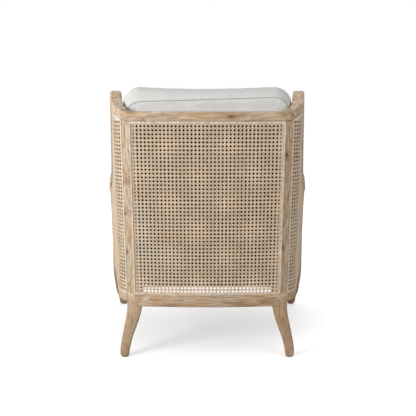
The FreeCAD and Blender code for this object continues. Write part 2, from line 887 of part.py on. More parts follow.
def cushion_section(origin, across, up, half, low, high, crown, bulge):
    """Closed section with a flat base, full sides and a crowned top."""
    a = origin - across * half + up * low
    b = origin + across * half + up * low
    c = origin + across * half + up * high
    d = origin - across * half + up * high
    middle = (low + high) / 2
    right = origin + across * (half + bulge) + up * middle
    left = origin - across * (half + bulge) + up * middle
    top = origin + up * (high + crown)
    edges = [
        Part.makeLine(a, b),
        Part.Arc(b, right, c).toShape(),
        Part.Arc(c, top, d).toShape(),
        Part.Arc(d, left, a).toShape(),
    ]
    return Part.Wire(edges)


def flat_base(form, origin, across, forward, up):
    """Form trimmed flat where it rests on a plane."""
    reach = seat_cushion_depth + back_cushion_top
    corners = [
        origin - across * reach - forward * reach,
        origin + across * reach - forward * reach,
        origin + across * reach + forward * reach,
        origin - across * reach + forward * reach,
    ]
    face = Part.Face(Part.makePolygon(corners + corners[:1]))
    return cut_by(form, [face.extrude(up * -seat_cushion_thickness)])


def seat_cushion_form(inset):
    """Crowned seat cushion, wider at its corners than between them, drawn level and then tipped."""
    wires = []
    bulge = seat_cushion_thickness * cushion_bulge_share
    base = 2 * webbing_thickness + deck_thickness + cushion_gap
    rear = deck_front_ahead + front_rail_bow + front_knee_width / 2 - seat_cushion_depth
    depth = seat_cushion_depth - 2 * inset
    across = Vector(1, 0, 0)
    up = Vector(0, 0, 1)
    for i, run_share in enumerate(seat_run_shares):
        body = seat_cushion_thickness * seat_body_shares[i]
        taper = seat_cushion_rear_half + (seat_cushion_front_half - seat_cushion_rear_half) * run_share
        draw = seat_cushion_draw * seat_draw_shares[i]
        half = (taper - draw - bulge) * seat_width_shares[i] - inset
        low = base
        if seat_body_shares[i] < cushion_full_share:
            low += (seat_cushion_thickness - body) * cushion_edge_lift_shares[0]
        crown = seat_cushion_crown * seat_crown_shares[i]
        origin = seat_point(0, rear + inset + depth * run_share, 0)
        wires.append(cushion_section(origin, across, up, half, low + inset, low + body - inset, crown, bulge))
    form = Part.makeLoft(wires, True, False)
    return tilt(flat_base(form, seat_point(0, 0, base + inset), across, Vector(0, 1, 0), up))


def back_cushion_form(inset):
    """Crowned back cushion that leans against the back pad."""
    wires = []
    bulge = back_cushion_thickness * cushion_bulge_share
    ahead = post_depth + back_pad_thickness + cushion_gap
    length = (back_cushion_top - back_cushion_base) / lean_axis.z - 2 * inset
    foot = place(0, ahead, back_cushion_base)
    start = foot + lean_axis * inset
    across = Vector(1, 0, 0)
    forward = Vector(0, -lean_axis.z, lean_axis.y)
    for i, run_share in enumerate(back_run_shares):
        body = back_cushion_thickness * back_body_shares[i]
        draw = back_cushion_draw * back_draw_shares[i]
        half = (back_cushion_half - draw - bulge) * back_width_shares[i] - inset
        low = 0
        if back_body_shares[i] < cushion_full_share:
            low = (back_cushion_thickness - body) * cushion_edge_lift_shares[1]
        crown = back_cushion_crown * back_crown_shares[i]
        origin = start + lean_axis * (length * run_share)
        high = low + body - inset
        wires.append(cushion_section(origin, across, forward, half, low + inset, high, crown, bulge))
    form = Part.makeLoft(wires, True, False)
    return flat_base(form, foot + forward * inset, across, lean_axis, forward)


def cover_and_core(form):
    """Sewn cover as a shell, and the foam core inside it."""
    outer = form(0)
    inner = form(cover_thickness)
    core = form(cover_thickness + core_gap)
    return largest(outer.cut(inner)), core


def dowel(point, direction):
    """Dowel centred on a joint."""
    unit = Vector(direction)
    unit.normalize()
    return Part.makeCylinder(dowel_radius, dowel_length, point - unit * (dowel_length / 2), unit)


def line_dowel(mark):
    """Dowel along the frame line through one of its joints."""
    origin, outward, upper = line_frame(mark)
    centre = origin - outward * (crest_width / 2 - rail_proud)
    return dowel(centre, outward.cross(upper))


def both(shape):
    """A piece and its mirror image."""
    return [shape, mirror(shape)]


def export(name, shape):
    """Write one node."""
    shape.exportStep("parts/" + name + ".step")


def export_pair(name, shape):
    """Write a left node and its mirror image as the right node."""
    export(name + "_left", shape)
    export(name + "_right", mirror(shape))


def main():
    os.makedirs("parts", exist_ok=True)

    crest = make_crest()
    wing_rail = make_wing_rail()
    wing_stile = make_wing_stile()
    arm = make_arm()
    bottom_rail = make_bottom_rail()
    back_cane_blank = bowed_plate(cane_half_width, 0, cane_thickness, sill_height, crest_centre, lean_line)

    rear_leg = cut_by(make_rear_leg(), [crest, wing_rail, bottom_rail, back_cane_blank])
    front_leg = cut_by(make_front_leg(), [arm])
    side_rail = cut_by(make_side_rail(), [rear_leg, front_leg, bottom_rail])
    legs = both(rear_leg) + both(front_leg)
    front_rail = make_front_rail(both(front_leg) + both(side_rail))

    side_board = make_side_board([rear_leg, front_leg, side_rail])
    rear_board = make_rear_board(both(rear_leg), both(side_board))
    front_board = make_front_board(both(front_leg) + [front_rail], both(side_board))
    rear_corner, front_corner = frame_corners()
    blocks = []
    screws = []
    for corner in (rear_corner, front_corner):
        block = make_block(*corner)
        pair = make_block_screws(*corner)
        blocks.append(cut_by(block, [side_board, rear_board, front_board] + pair))
        screws.extend(pair)
    side_board = cut_by(side_board, screws)
    all_screws = screws + [mirror(screw) for screw in screws]
    rear_board = cut_by(rear_board, all_screws)
    front_board = cut_by(front_board, all_screws)
    blocks = blocks + [mirror(block) for block in blocks]

    lengthwise, crosswise = make_webbing()
    deck = make_deck(legs)
    dust_cover = make_dust_cover(legs)
    band = make_band(legs + [deck, front_board, front_rail])

    back_cane = cut_by(back_cane_blank, [crest])
    opening_frame = [rear_leg, front_leg, side_rail, wing_rail, wing_stile, arm, crest]
    side_cane = side_opening_sheet(0, cane_thickness, sill_height, opening_frame)
    side_lining = side_opening_sheet(side_lining_inset, lining_thickness, side_lining_base, opening_frame)
    pad_base = deck_front_height + 2 * webbing_thickness + deck_thickness
    side_pad = side_opening_sheet(side_pad_inset, side_pad_thickness, pad_base, opening_frame)
    side_splines = make_side_splines(opening_frame + [side_cane], make_front_leg(spline_width))
    back_splines = make_back_splines([crest])

    lining_half = back_half_width - post_width
    back_lining = leaning_box(lining_half, back_lining_ahead, back_lining_ahead + lining_thickness,
                              sill_height + lining_base_rise, crest_base - wall_clear)
    rail_base = sill_height + inner_rail_rise
    inner_rail = leaning_box(lining_half, back_lining_ahead + lining_thickness, post_depth,
                             rail_base, rail_base + inner_rail_height)
    back_pad = leaning_box(back_pad_half, post_depth, post_depth + back_pad_thickness,
                           rail_base, crest_base + crest_height - back_pad_margin)

    seat_cover, seat_core = cover_and_core(seat_cushion_form)
    back_cover, back_core = cover_and_core(back_cushion_form)

    post_joint = place(back_half_width - post_width / 2, post_depth / 2, crest_base)
    leg_top = front_leg_shares[-1]
    leg_top_x = front_leg_x + front_leg_splay * leg_top[1]
    leg_top_ahead = front_leg_ahead + front_leg_sweep * leg_top[2]
    arm_joint = level(leg_top_x, leg_top_ahead, arm_height - arm_droop - arm_section_height / 2)
    left_dowels = [
        dowel(post_joint, lean_axis),
        line_dowel(post_mark),
        line_dowel(tip_mark),
        line_dowel(arm_mark),
        dowel(arm_joint, Vector(0, 0, 1)),
    ]
    right_dowels = [mirror(pin) for pin in left_dowels]
    crest = cut_by(crest, left_dowels + right_dowels)
    wing_rail = cut_by(wing_rail, left_dowels)
    wing_stile = cut_by(wing_stile, left_dowels)
    arm = cut_by(arm, left_dowels)
    rear_leg = cut_by(rear_leg, left_dowels)
    front_leg = cut_by(front_leg, left_dowels)

    foot = front_leg_shares[0]
    left_glides = [
        make_glide(back_half_width - post_width / 2 + rear_leg_splay, post_depth / 2 - rear_leg_sweep),
        make_glide(front_leg_x + front_leg_splay * foot[1], front_leg_ahead + front_leg_sweep * foot[2]),
    ]
    glides = left_glides + [mirror(glide) for glide in left_glides]

    export("crest_rail", crest)
    export("bottom_back_rail", bottom_rail)
    export_pair("wing_rail", wing_rail)
    export_pair("wing_stile", wing_stile)
    export_pair("arm_rail", arm)
    export_pair("rear_leg", rear_leg)
    export_pair("front_leg", front_leg)
    export_pair("side_seat_rail", side_rail)
    export("front_seat_rail", front_rail)
    export_pair("seat_side_board", side_board)
    export("seat_rear_board", rear_board)
    export("seat_front_board", front_board)
    export("corner_blocks", Part.makeCompound(blocks))
    export("block_screws", Part.makeCompound(all_screws))
    export("webbing_lengthwise", lengthwise)
    export("webbing_crosswise", crosswise)
    export("seat_platform", deck)
    export("dust_cover", dust_cover)
    export("front_band", band)
    export("back_cane", back_cane)
    export_pair("side_cane", side_cane)
    export("back_spline", back_splines)
    export_pair("side_spline", side_splines)
    export("back_lining", back_lining)
    export_pair("side_lining", side_lining)
    export("inner_back_rail", inner_rail)
    export("back_pad", back_pad)
    export_pair("side_pad", side_pad)
    export("seat_cushion_cover", seat_cover)
    export("seat_cushion_core", seat_core)
    export("back_cushion_cover", back_cover)
    export("back_cushion_core", back_core)
    export("frame_dowels", Part.makeCompound(left_dowels + right_dowels))
    export("foot_glides", Part.makeCompound(glides))


main()
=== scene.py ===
import bpy
import bmesh
import math
from bpy.props import FloatProperty, FloatVectorProperty, PointerProperty
from mathutils import Matrix, Vector, noise
from mathutils.geometry import interpolate_bezier


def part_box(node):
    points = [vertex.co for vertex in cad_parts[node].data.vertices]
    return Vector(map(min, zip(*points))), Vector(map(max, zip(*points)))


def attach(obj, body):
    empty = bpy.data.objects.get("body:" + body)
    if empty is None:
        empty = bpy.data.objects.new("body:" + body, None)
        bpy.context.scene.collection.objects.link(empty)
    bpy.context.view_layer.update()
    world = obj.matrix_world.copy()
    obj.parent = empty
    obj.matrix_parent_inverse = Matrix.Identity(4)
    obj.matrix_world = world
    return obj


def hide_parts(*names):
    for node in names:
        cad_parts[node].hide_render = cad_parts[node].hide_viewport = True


bl_info = {
    "name": "Cane Back Armchair",
    "version": (1, 0, 0),
    "blender": (4, 5, 0),
    "location": "3D View > Sidebar > Armchair",
    "description": "Dresses the armchair's frame with limed oak, woven cane and linen cushions",
    "category": "Object",
}

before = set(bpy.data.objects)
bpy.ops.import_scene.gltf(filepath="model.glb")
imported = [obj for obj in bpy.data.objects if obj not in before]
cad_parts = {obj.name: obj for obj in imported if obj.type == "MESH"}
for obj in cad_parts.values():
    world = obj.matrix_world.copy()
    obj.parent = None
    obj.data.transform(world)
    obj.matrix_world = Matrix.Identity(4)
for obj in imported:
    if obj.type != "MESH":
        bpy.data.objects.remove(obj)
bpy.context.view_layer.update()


# Sizes and colours that a user would change

class ChairSizes(bpy.types.PropertyGroup):
    lean: FloatProperty(
        name="Lean", description="Lean of the back and sides", default=math.radians(8.0), unit="ROTATION")
    back_line: FloatProperty(
        name="Back line", description="Y of the posts' rear faces at sill", default=0.25523, unit="LENGTH")
    sill: FloatProperty(
        name="Sill", description="Height of the lower edge of the cane", default=0.216, unit="LENGTH")
    crest_base: FloatProperty(
        name="Crest", description="Height of the crest rail's lower edge", default=0.8135, unit="LENGTH")
    bow: FloatProperty(
        name="Bow", description="Rise of the bowed back over its chord", default=0.015, unit="LENGTH")
    cane_half: FloatProperty(
        name="Cane half width", description="Half the width of the back's cane", default=0.255, unit="LENGTH")
    corner_radius: FloatProperty(
        name="Corner radius", description="Plan radius of the wall's corner", default=0.108, unit="LENGTH")
    weave_pitch: FloatProperty(
        name="Weave pitch", description="Distance between holes of the cane", default=0.0127, unit="LENGTH")
    row_pitch: FloatProperty(
        name="Row pitch", description="Distance between rows, up the panel", default=0.01315, unit="LENGTH")
    strand_width: FloatProperty(
        name="Strand width", description="Width of one cane strand", default=0.00235, unit="LENGTH")
    strand_thickness: FloatProperty(
        name="Strand thickness", description="Thickness of a cane strand", default=0.00072, unit="LENGTH")
    deck_fall: FloatProperty(
        name="Seat fall", description="Rearward fall of the seat", default=math.radians(4.0), unit="ROTATION")
    deck_height: FloatProperty(
        name="Seat height", description="Height of the seat frame's front edge", default=0.310, unit="LENGTH")
    deck_ahead: FloatProperty(
        name="Seat front", description="Seat frame's front, ahead of the back line", default=0.545,
        unit="LENGTH")


class ChairColours(bpy.types.PropertyGroup):
    oak: FloatVectorProperty(
        name="Oak", description="Limed oak between the streaks", subtype="COLOR_GAMMA", size=3,
        default=(0.835, 0.742, 0.617))
    oak_streak: FloatVectorProperty(
        name="Oak streak", description="Darker grain of the oak", subtype="COLOR_GAMMA", size=3,
        default=(0.700, 0.548, 0.388))
    liming: FloatVectorProperty(
        name="Liming", description="White wax in the open grain", subtype="COLOR_GAMMA", size=3,
        default=(0.930, 0.895, 0.850))
    knot: FloatVectorProperty(
        name="Knot", description="Dark knots", subtype="COLOR_GAMMA", size=3, default=(0.40, 0.28, 0.19))
    cane: FloatVectorProperty(
        name="Cane", description="Natural cane", subtype="COLOR_GAMMA", size=3,
        default=(0.895, 0.805, 0.695))
    reed: FloatVectorProperty(
        name="Reed", description="Reed along the edge of the cane", subtype="COLOR_GAMMA", size=3,
        default=(0.930, 0.895, 0.840))
    linen: FloatVectorProperty(
        name="Linen", description="Linen of the cushions and pads", subtype="COLOR_GAMMA", size=3,
        default=(0.900, 0.904, 0.904))
    # Also the colour of the painted shade on the posts behind the cane
    lining: FloatVectorProperty(
        name="Lining", description="Dark cloth behind the cane", subtype="COLOR_GAMMA", size=3,
        default=(0.20, 0.150, 0.110))


def sizes():
    return bpy.context.scene.chair_sizes


def colours():
    return bpy.context.scene.chair_colours


# Materials. Each maker returns the inputs of the material's shader.

WHITE = (1.0, 1.0, 1.0, 1.0)
SOFT_EDGE = 0.0012


def linear(colour, factor=1.0):
    """Screen colour as a linear colour with alpha."""
    out = []
    for c in colour[:3]:
        c = c * factor
        out.append(c / 12.92 if c <= 0.04045 else ((c + 0.055) / 1.055) ** 2.4)
    return (*out, 1.0)


def add_node(tree, kind, inputs=None, **settings):
    """New shader node with its settings, and its inputs set or linked."""
    node = tree.nodes.new("ShaderNode" + kind)
    for name, value in settings.items():
        setattr(node, name, value)
    for name, value in (inputs or {}).items():
        if isinstance(value, bpy.types.NodeSocket):
            tree.links.new(value, node.inputs[name])
        else:
            node.inputs[name].default_value = value
    return node


def placed(tree, scale):
    """Object coordinates, scaled."""
    coords = add_node(tree, "TexCoord").outputs["Object"]
    return add_node(tree, "Mapping", {"Vector": coords, "Scale": scale}).outputs["Vector"]


def band(tree, value, low, high, out_low=0.0, out_high=1.0):
    """Value remapped from one range to another, clamped."""
    return add_node(tree, "MapRange", {
        "Value": value, "From Min": low, "From Max": high, "To Min": out_low, "To Max": out_high,
    }).outputs["Result"]


def mixed(tree, factor, a, b):
    """Two colours mixed by a factor."""
    return add_node(tree, "Mix", {0: factor, 6: a, 7: b}, data_type="RGBA").outputs[2]


def layered(tree, colour, *layers):
    """Colour with layers over it, each one a value, its range, its strength and its colour."""
    for value, low, high, strength, tint in layers:
        colour = mixed(tree, band(tree, value, low, high, 0.0, strength), colour, tint)
    return colour


def cloud(tree, scale, detail=3.0, roughness=0.55, distortion=0.0):
    """Noise value over the scaled object coordinates."""
    return add_node(tree, "TexNoise", {
        "Vector": placed(tree, scale), "Scale": 1.0, "Detail": detail, "Roughness": roughness,
        "Distortion": distortion}).outputs["Fac"]


def stripes(tree, scale, inputs, direction):
    """Wave value in bands over the scaled object coordinates."""
    return add_node(tree, "TexWave", {"Vector": placed(tree, scale), **inputs},
                    wave_type="BANDS", bands_direction=direction).outputs["Fac"]


def multiply(tree, a, b):
    return add_node(tree, "Math", {0: a, 1: b}, operation="MULTIPLY").outputs[0]


def bump(tree, height, strength, distance, normal=None):
    inputs = {"Height": height, "Strength": strength, "Distance": distance}
    if normal is not None:
        inputs["Normal"] = normal
    return add_node(tree, "Bump", inputs).outputs["Normal"]


def soft_edges(tree):
    """Normal that rounds sharp edges off."""
    return add_node(tree, "Bevel", {"Radius": SOFT_EDGE}, samples=4).outputs["Normal"]


def grain(axis, along, across):
    """Scale of a pattern with its grain along one axis."""
    return tuple(along if name == axis else across for name in "XYZ")


def even(scale):
    return (scale, scale, scale)


# Larger knots of the posts and the crest rail: X, Z and size
KNOTS = (
    (0.2767, 0.5037, 0.0035), (0.2756, 0.3684, 0.0040), (-0.2618, 0.7050, 0.0065), (-0.2555, 0.3858, 0.0040),
    (-0.0769, 0.8310, 0.0060),
)
KNOT_FLATNESS = 0.5
# Painted shade: colour, and the heights between which the legs darken towards the floor
FOOT_SHADE = (0.53, 0.39, 0.265)
FOOT_SHADE_HEIGHTS = (0.10, 0.215)
# Painted shade on the posts where they lie behind the cane, in the lining's colour: inside this half width
# and above this height
POST_SHADE_REACH = 0.2405
POST_SHADE_FOOT = 0.2420
POST_SHADE_BLUR = 0.0006


def limed_oak(tree, axis, waxed=0.8, figured=0.0, shaded_behind_cane=False):
    """Oak with its grain along one axis, white wax in the pores, orange streaks and knots."""
    palette = colours()
    broad = cloud(tree, grain(axis, 1.6, 17.0), 3.0, 0.5, 0.6)
    streaks = cloud(tree, grain(axis, 5.0, 150.0), 5.0, 0.62, 0.4)
    fine = cloud(tree, grain(axis, 26.0, 720.0), 2.0, 0.6)
    white = cloud(tree, grain(axis, 11.0, 300.0), 4.0, 0.7, 0.2)
    patches = cloud(tree, grain(axis, 9.0, 22.0), 3.0, 0.6, 0.5)
    rings = stripes(tree, grain(axis, 1.1, 14.0), {
        "Scale": 1.6, "Distortion": 7.0, "Detail": 3.0, "Detail Scale": 1.4}, "DIAGONAL")
    spot = add_node(tree, "SeparateXYZ", {"Vector": placed(tree, even(1.0))}).outputs

    def streak(factor):
        return linear(palette.oak_streak, factor)

    colour = layered(
        tree, linear(palette.oak), (broad, 0.34, 0.66, 0.7, streak(1.10)),
        (streaks, 0.45, 0.60, 0.90, streak(0.93 - 0.13 * figured)), (rings, 0.80, 0.98, 0.42, streak(0.82)))
    wax = band(tree, white, 0.45, 0.66, 0.0, waxed)
    wax = multiply(tree, wax, band(tree, patches, 0.38, 0.60, 0.20, 1.0))
    # Painted light: the liming grows paler towards +X, the side the key light comes from
    wax = multiply(tree, wax, band(tree, spot["X"], -0.30, 0.30, 0.70, 1.12))
    colour = mixed(tree, wax, colour, linear(palette.liming))
    colour = layered(tree, colour, (fine, 0.60, 0.76, 0.45, streak(0.70)))
    cells = add_node(tree, "TexVoronoi", {
        "Vector": placed(tree, grain(axis, 5.0, 8.5)), "Scale": 1.0, "Randomness": 1.0}).outputs
    pick = add_node(tree, "SeparateColor", {"Color": cells["Color"]}).outputs[0]
    chosen = band(tree, pick, 0.60, 0.63)
    halo = multiply(tree, band(tree, cells["Distance"], 0.05, 0.17, 0.55, 0.0), chosen)
    core = multiply(tree, band(tree, cells["Distance"], 0.028, 0.058, 1.0, 0.0), chosen)
    colour = mixed(tree, halo, colour, streak(0.85))
    colour = mixed(tree, core, colour, linear(palette.knot))
    flat = (KNOT_FLATNESS, 0.0, 1.0) if axis == "X" else (1.0, 0.0, KNOT_FLATNESS)
    for x, z, size in KNOTS:
        away = add_node(tree, "VectorMath", {
            0: placed(tree, flat), 1: (x * flat[0], 0.0, z * flat[2])}, operation="DISTANCE").outputs["Value"]
        colour = mixed(tree, band(tree, away, size * 0.5, size * 2.2, 0.75, 0.0), colour, streak(0.80))
        colour = mixed(tree, band(tree, away, size * 0.3, size * 0.8, 0.9, 0.0), colour, linear(palette.knot))
    # Painted shade, darker towards the feet
    colour = mixed(tree, band(tree, spot["Z"], *FOOT_SHADE_HEIGHTS, 0.55, 0.0), colour, linear(FOOT_SHADE))
    # Painted shade: the posts' faces behind the cane are darkened to the lining's colour
    if shaded_behind_cane:
        side = add_node(tree, "Math", {0: spot["X"]}, operation="ABSOLUTE").outputs[0]
        cane_shade = multiply(tree, band(tree, side, POST_SHADE_REACH, POST_SHADE_REACH + POST_SHADE_BLUR, 1.0, 0.0),
                         band(tree, spot["Z"], POST_SHADE_FOOT, POST_SHADE_FOOT + POST_SHADE_BLUR))
        colour = mixed(tree, cane_shade, colour, linear(palette.lining))
    relief = bump(tree, fine, 0.25, 0.0006, soft_edges(tree))
    return {"Base Color": colour, "Roughness": band(tree, wax, 0.0, 0.8, 0.50, 0.72),
            "Specular IOR Level": 0.35, "Normal": bump(tree, streaks, 0.20, 0.0010, relief)}


def plain_timber(tree, axis):
    """Sawn hardwood of the hidden frame."""
    streaks = cloud(tree, grain(axis, 4.0, 90.0), 5.0, 0.6, 0.4)
    saw = cloud(tree, grain(axis, 260.0, 12.0), 2.0)
    colour = layered(tree, linear((0.80, 0.68, 0.50)), (streaks, 0.35, 0.7, 1.0, linear((0.62, 0.47, 0.31))))
    return {"Base Color": colour, "Roughness": 0.75, "Normal": bump(tree, saw, 0.3, 0.0008)}


def natural_cane(tree):
    """Glossy natural cane with its own tone on each strand."""
    palette = colours()
    tone = add_node(tree, "Attribute", attribute_name="strand").outputs["Fac"]
    spots = cloud(tree, even(90.0), 3.0, 0.6)
    blotch = cloud(tree, even(9.0))
    fibre = cloud(tree, (900.0, 900.0, 120.0), 2.0, 0.5)
    colour = layered(
        tree, linear(palette.cane, 0.93), (tone, 0.0, 1.0, 1.0, linear(palette.cane, 1.08)),
        (spots, 0.50, 0.72, 0.5, linear((0.66, 0.53, 0.40))),
        (blotch, 0.48, 0.68, 0.45, linear((0.90, 0.85, 0.78))))
    return {"Base Color": colour, "Roughness": 0.42, "Specular IOR Level": 0.5,
            "Normal": bump(tree, fibre, 0.2, 0.0003)}


def whitened_reed(tree):
    """Whitened reed strip."""
    spots = cloud(tree, (110.0, 110.0, 60.0), 4.0, 0.6)
    lines = cloud(tree, even(700.0), 2.0, 0.5)
    colour = layered(tree, linear(colours().reed), (spots, 0.40, 0.68, 0.8, linear((0.74, 0.63, 0.50))))
    relief = bump(tree, lines, 0.3, 0.0004, soft_edges(tree))
    return {"Base Color": colour, "Roughness": 0.55, "Normal": relief}


def linen_cloth(tree, factor=1.0):
    """Plain-woven linen: a fine check of threads with slubs and a soft nap."""

    def linen(share):
        return linear(colours().linen, factor * share)

    threads = None
    for direction in "XYZ":
        wave = stripes(tree, even(1.0), {
            "Scale": 190.0, "Distortion": 0.9, "Detail": 1.0, "Detail Scale": 0.35}, direction)
        if threads is not None:
            wave = add_node(tree, "Math", {0: threads, 1: wave}, operation="ADD").outputs[0]
        threads = wave
    slub_x = cloud(tree, (60.0, 420.0, 420.0), 3.0, 0.6)
    slub_z = cloud(tree, (420.0, 420.0, 60.0), 3.0, 0.6)
    tone = cloud(tree, even(14.0), 3.0, 0.5)
    colour = layered(
        tree, linen(0.93), (threads, 0.6, 2.4, 1.0, linen(1.03)), (slub_x, 0.54, 0.70, 0.75, linen(0.88)),
        (slub_z, 0.56, 0.72, 0.55, linen(1.07)), (tone, 0.4, 0.65, 0.3, linear((0.84, 0.825, 0.79), factor)))
    relief = bump(tree, threads, 0.35, 0.0005)
    return {"Base Color": colour, "Roughness": 0.92, "Specular IOR Level": 0.2, "Sheen Weight": 0.06,
            "Sheen Roughness": 0.5, "Normal": bump(tree, slub_x, 0.25, 0.0006, relief)}


def coarse_cloth(tree, colour):
    """Coarse plain cloth such as lining or dust cloth."""
    weave = cloud(tree, even(900.0), 2.0, 0.6)
    tone = cloud(tree, even(12.0), 3.0, 0.6)
    shade = layered(tree, linear(colour), (weave, 0.35, 0.7, 1.0, linear(colour, 0.72)),
                    (tone, 0.35, 0.7, 0.4, linear(colour, 1.25)))
    return {"Base Color": shade, "Roughness": 0.9, "Normal": bump(tree, weave, 0.4, 0.0006)}


def jute_webbing(tree):
    """Jute webbing with slanting dark threads."""
    ribs = stripes(tree, even(1.0), {"Scale": 120.0, "Distortion": 1.5, "Detail": 2.0}, "DIAGONAL")
    hairs = cloud(tree, even(400.0), 4.0, 0.7)
    colour = layered(tree, linear((0.60, 0.47, 0.31)), (ribs, 0.2, 0.8, 1.0, linear((0.74, 0.62, 0.45))),
                     (hairs, 0.45, 0.7, 0.6, linear((0.48, 0.36, 0.23))))
    return {"Base Color": colour, "Roughness": 0.9, "Normal": bump(tree, ribs, 0.5, 0.0012)}


def mottled(tree, colour, roughness, metallic=0.0):
    """Moulded or plated small part with a faint mottle."""
    mottle = cloud(tree, even(240.0), 3.0, 0.6)
    shade = layered(tree, linear(colour), (mottle, 0.35, 0.7, 1.0, linear(colour, 0.86)))
    return {"Base Color": shade, "Metallic": metallic,
            "Roughness": band(tree, mottle, 0.3, 0.7, roughness * 0.85, roughness * 1.15)}


MATERIALS = {
    "limed oak upright": lambda tree: limed_oak(tree, "Z"),
    # The posts carry painted shade where the cane covers them
    "limed oak posts": lambda tree: limed_oak(tree, "Z", 0.8, 0.2, True),
    "limed oak across": lambda tree: limed_oak(tree, "X", 0.9, 1.0),
    "limed oak lengthwise": lambda tree: limed_oak(tree, "Y", 1.0, 0.3),
    "frame timber across": lambda tree: plain_timber(tree, "X"),
    "frame timber lengthwise": lambda tree: plain_timber(tree, "Y"),
    "natural cane": natural_cane,
    "whitened reed": whitened_reed,
    "pale linen": linen_cloth,
    # Seam linen at a lower brightness: painted shade along the seams
    "linen seam shade": lambda tree: linen_cloth(tree, 0.76),
    "dark lining": lambda tree: coarse_cloth(tree, colours().lining),
    "side lining": lambda tree: coarse_cloth(tree, (0.55, 0.47, 0.39)),
    "black dust cloth": lambda tree: coarse_cloth(tree, (0.10, 0.10, 0.10)),
    "jute webbing": jute_webbing,
    "plated steel": lambda tree: mottled(tree, (0.75, 0.73, 0.68), 0.35, 1.0),
    "moulded glide": lambda tree: mottled(tree, (0.60, 0.53, 0.44), 0.5),
}


def empty_material(name):
    """Material with an empty node tree."""
    paint = bpy.data.materials.new(name)
    paint.use_nodes = True
    paint.node_tree.nodes.clear()
    return paint


def material(name):
    """Material by name, made on first use."""
    if name not in bpy.data.materials:
        tree = empty_material(name).node_tree
        shader = add_node(tree, "BsdfPrincipled", MATERIALS[name](tree))
        add_node(tree, "OutputMaterial", {"Surface": shader.outputs["BSDF"]})
    return bpy.data.materials[name]


# The shape of the leaning shell, as in the solids

WALL_START = Vector((0.27899, 0.01251))
WALL_START_HEADING = math.radians(50.0)
WALL_END_HEADING = math.radians(9.6)

# Middle line of crest, wing and arm: places along the unrolled wall, and heights
LINE_STOPS = [
    (-0.0621, 0.8303), (-0.0311, 0.8303), (0.0000, 0.8363), (0.0324, 0.8457), (0.0648, 0.8571),
    (0.0945, 0.8725), (0.1175, 0.8892), (0.1350, 0.8973), (0.1548, 0.8893), (0.1746, 0.8685),
    (0.1944, 0.8366), (0.2290, 0.7855), (0.2637, 0.7344), (0.2967, 0.6897), (0.3264, 0.6514),
    (0.3561, 0.6227), (0.3941, 0.5956), (0.4287, 0.5818), (0.4620, 0.5780), (0.5100, 0.5674),
    (0.5580, 0.5450), (0.6000, 0.5120), (0.6220, 0.4840),
]
LINE_STEPS = 8


def back_y(height):
    """Y of the leaning plane of the posts' rear faces."""
    return sizes().back_line + (height - sizes().sill) * math.tan(sizes().lean)


def wall_point(run, height, inset):
    """Point of the side wall (+X side) at a depth inside its outer face."""
    radius = sizes().corner_radius
    corner = radius * (WALL_START_HEADING - WALL_END_HEADING)
    heading = WALL_START_HEADING - min(run, corner) / radius
    straight = max(0.0, run - corner)
    x = WALL_START.x + radius * (math.cos(heading) - math.cos(WALL_START_HEADING))
    ahead = WALL_START.y + radius * (math.sin(WALL_START_HEADING) - math.sin(heading))
    x += straight * math.sin(heading) - inset * math.cos(heading)
    ahead += straight * math.cos(heading) + inset * math.sin(heading)
    return Vector((x, back_y(height) - ahead, height))


def back_point(x, height, inset):
    """Point of the bowed back at a depth inside its outer face."""
    half, bow = sizes().cane_half, sizes().bow
    radius = (half * half + bow * bow) / (2 * bow)
    reach = radius - inset
    ahead = radius - bow - math.sqrt(reach * reach - x * x)
    return Vector((x, back_y(height) - ahead, height))


def frame_line():
    """Middle line of crest, wing and arm as a smooth row of points."""
    stops = [Vector((run, height, 0.0)) for run, height in LINE_STOPS]
    found = []
    for before, start, end, after in zip(stops, stops[1:], stops[2:], stops[3:]):
        reach = (end - start).length / 3
        leave = start + (end - before).normalized() * reach
        arrive = end - (after - start).normalized() * reach
        found += interpolate_bezier(start, leave, arrive, end, LINE_STEPS + 1)[:-1]
    return [p.to_2d() for p in found + [stops[-2]]]


def frame_height(line, run):
    """Height of the middle of the wing and arm over a place along the wall."""
    for before, after in zip(line, line[1:]):
        if run <= after.x:
            return before.y + (after.y - before.y) * (run - before.x) / (after.x - before.x)
    return line[-1].y


def seat_matrix():
    """Matrix from the level drawing of the seat to its tipped place: X across, Y ahead, Z up."""
    s = sizes()
    pivot = Vector((0.0, s.back_line - s.deck_ahead, s.deck_height))
    turn = Matrix.Translation(pivot) @ Matrix.Rotation(-s.deck_fall, 4, "X") @ Matrix.Translation(-pivot)
    level = Matrix(((1, 0, 0, 0), (0, -1, 0, s.back_line), (0, 0, 1, s.deck_height), (0, 0, 0, 1)))
    return turn @ level


# Mesh helpers

def finish_piece(bm, name, material_name, body="frame"):
    """Object from a bmesh, riding on a body."""
    mesh = bpy.data.meshes.new(name)
    bm.to_mesh(mesh)
    bm.free()
    piece = bpy.data.objects.new(name, mesh)
    bpy.context.scene.collection.objects.link(piece)
    mesh.materials.append(material(material_name))
    mesh.shade_smooth()
    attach(piece, body)
    return piece


def apply_modifiers(piece):
    """Bake the piece's modifiers into its mesh."""
    graph = bpy.context.evaluated_depsgraph_get()
    baked = bpy.data.meshes.new_from_object(piece.evaluated_get(graph), depsgraph=graph)
    old = piece.data
    piece.modifiers.clear()
    piece.data = baked
    bpy.data.meshes.remove(old)
    baked.shade_smooth()


def thick_piece(bm, name, material_name, thickness, offset=0.0):
    """Object from a bmesh of one layer that is given its thickness."""
    piece = finish_piece(bm, name, material_name)
    solid = piece.modifiers.new("Thickness", "SOLIDIFY")
    solid.thickness = thickness
    solid.offset = offset
    apply_modifiers(piece)
    return piece


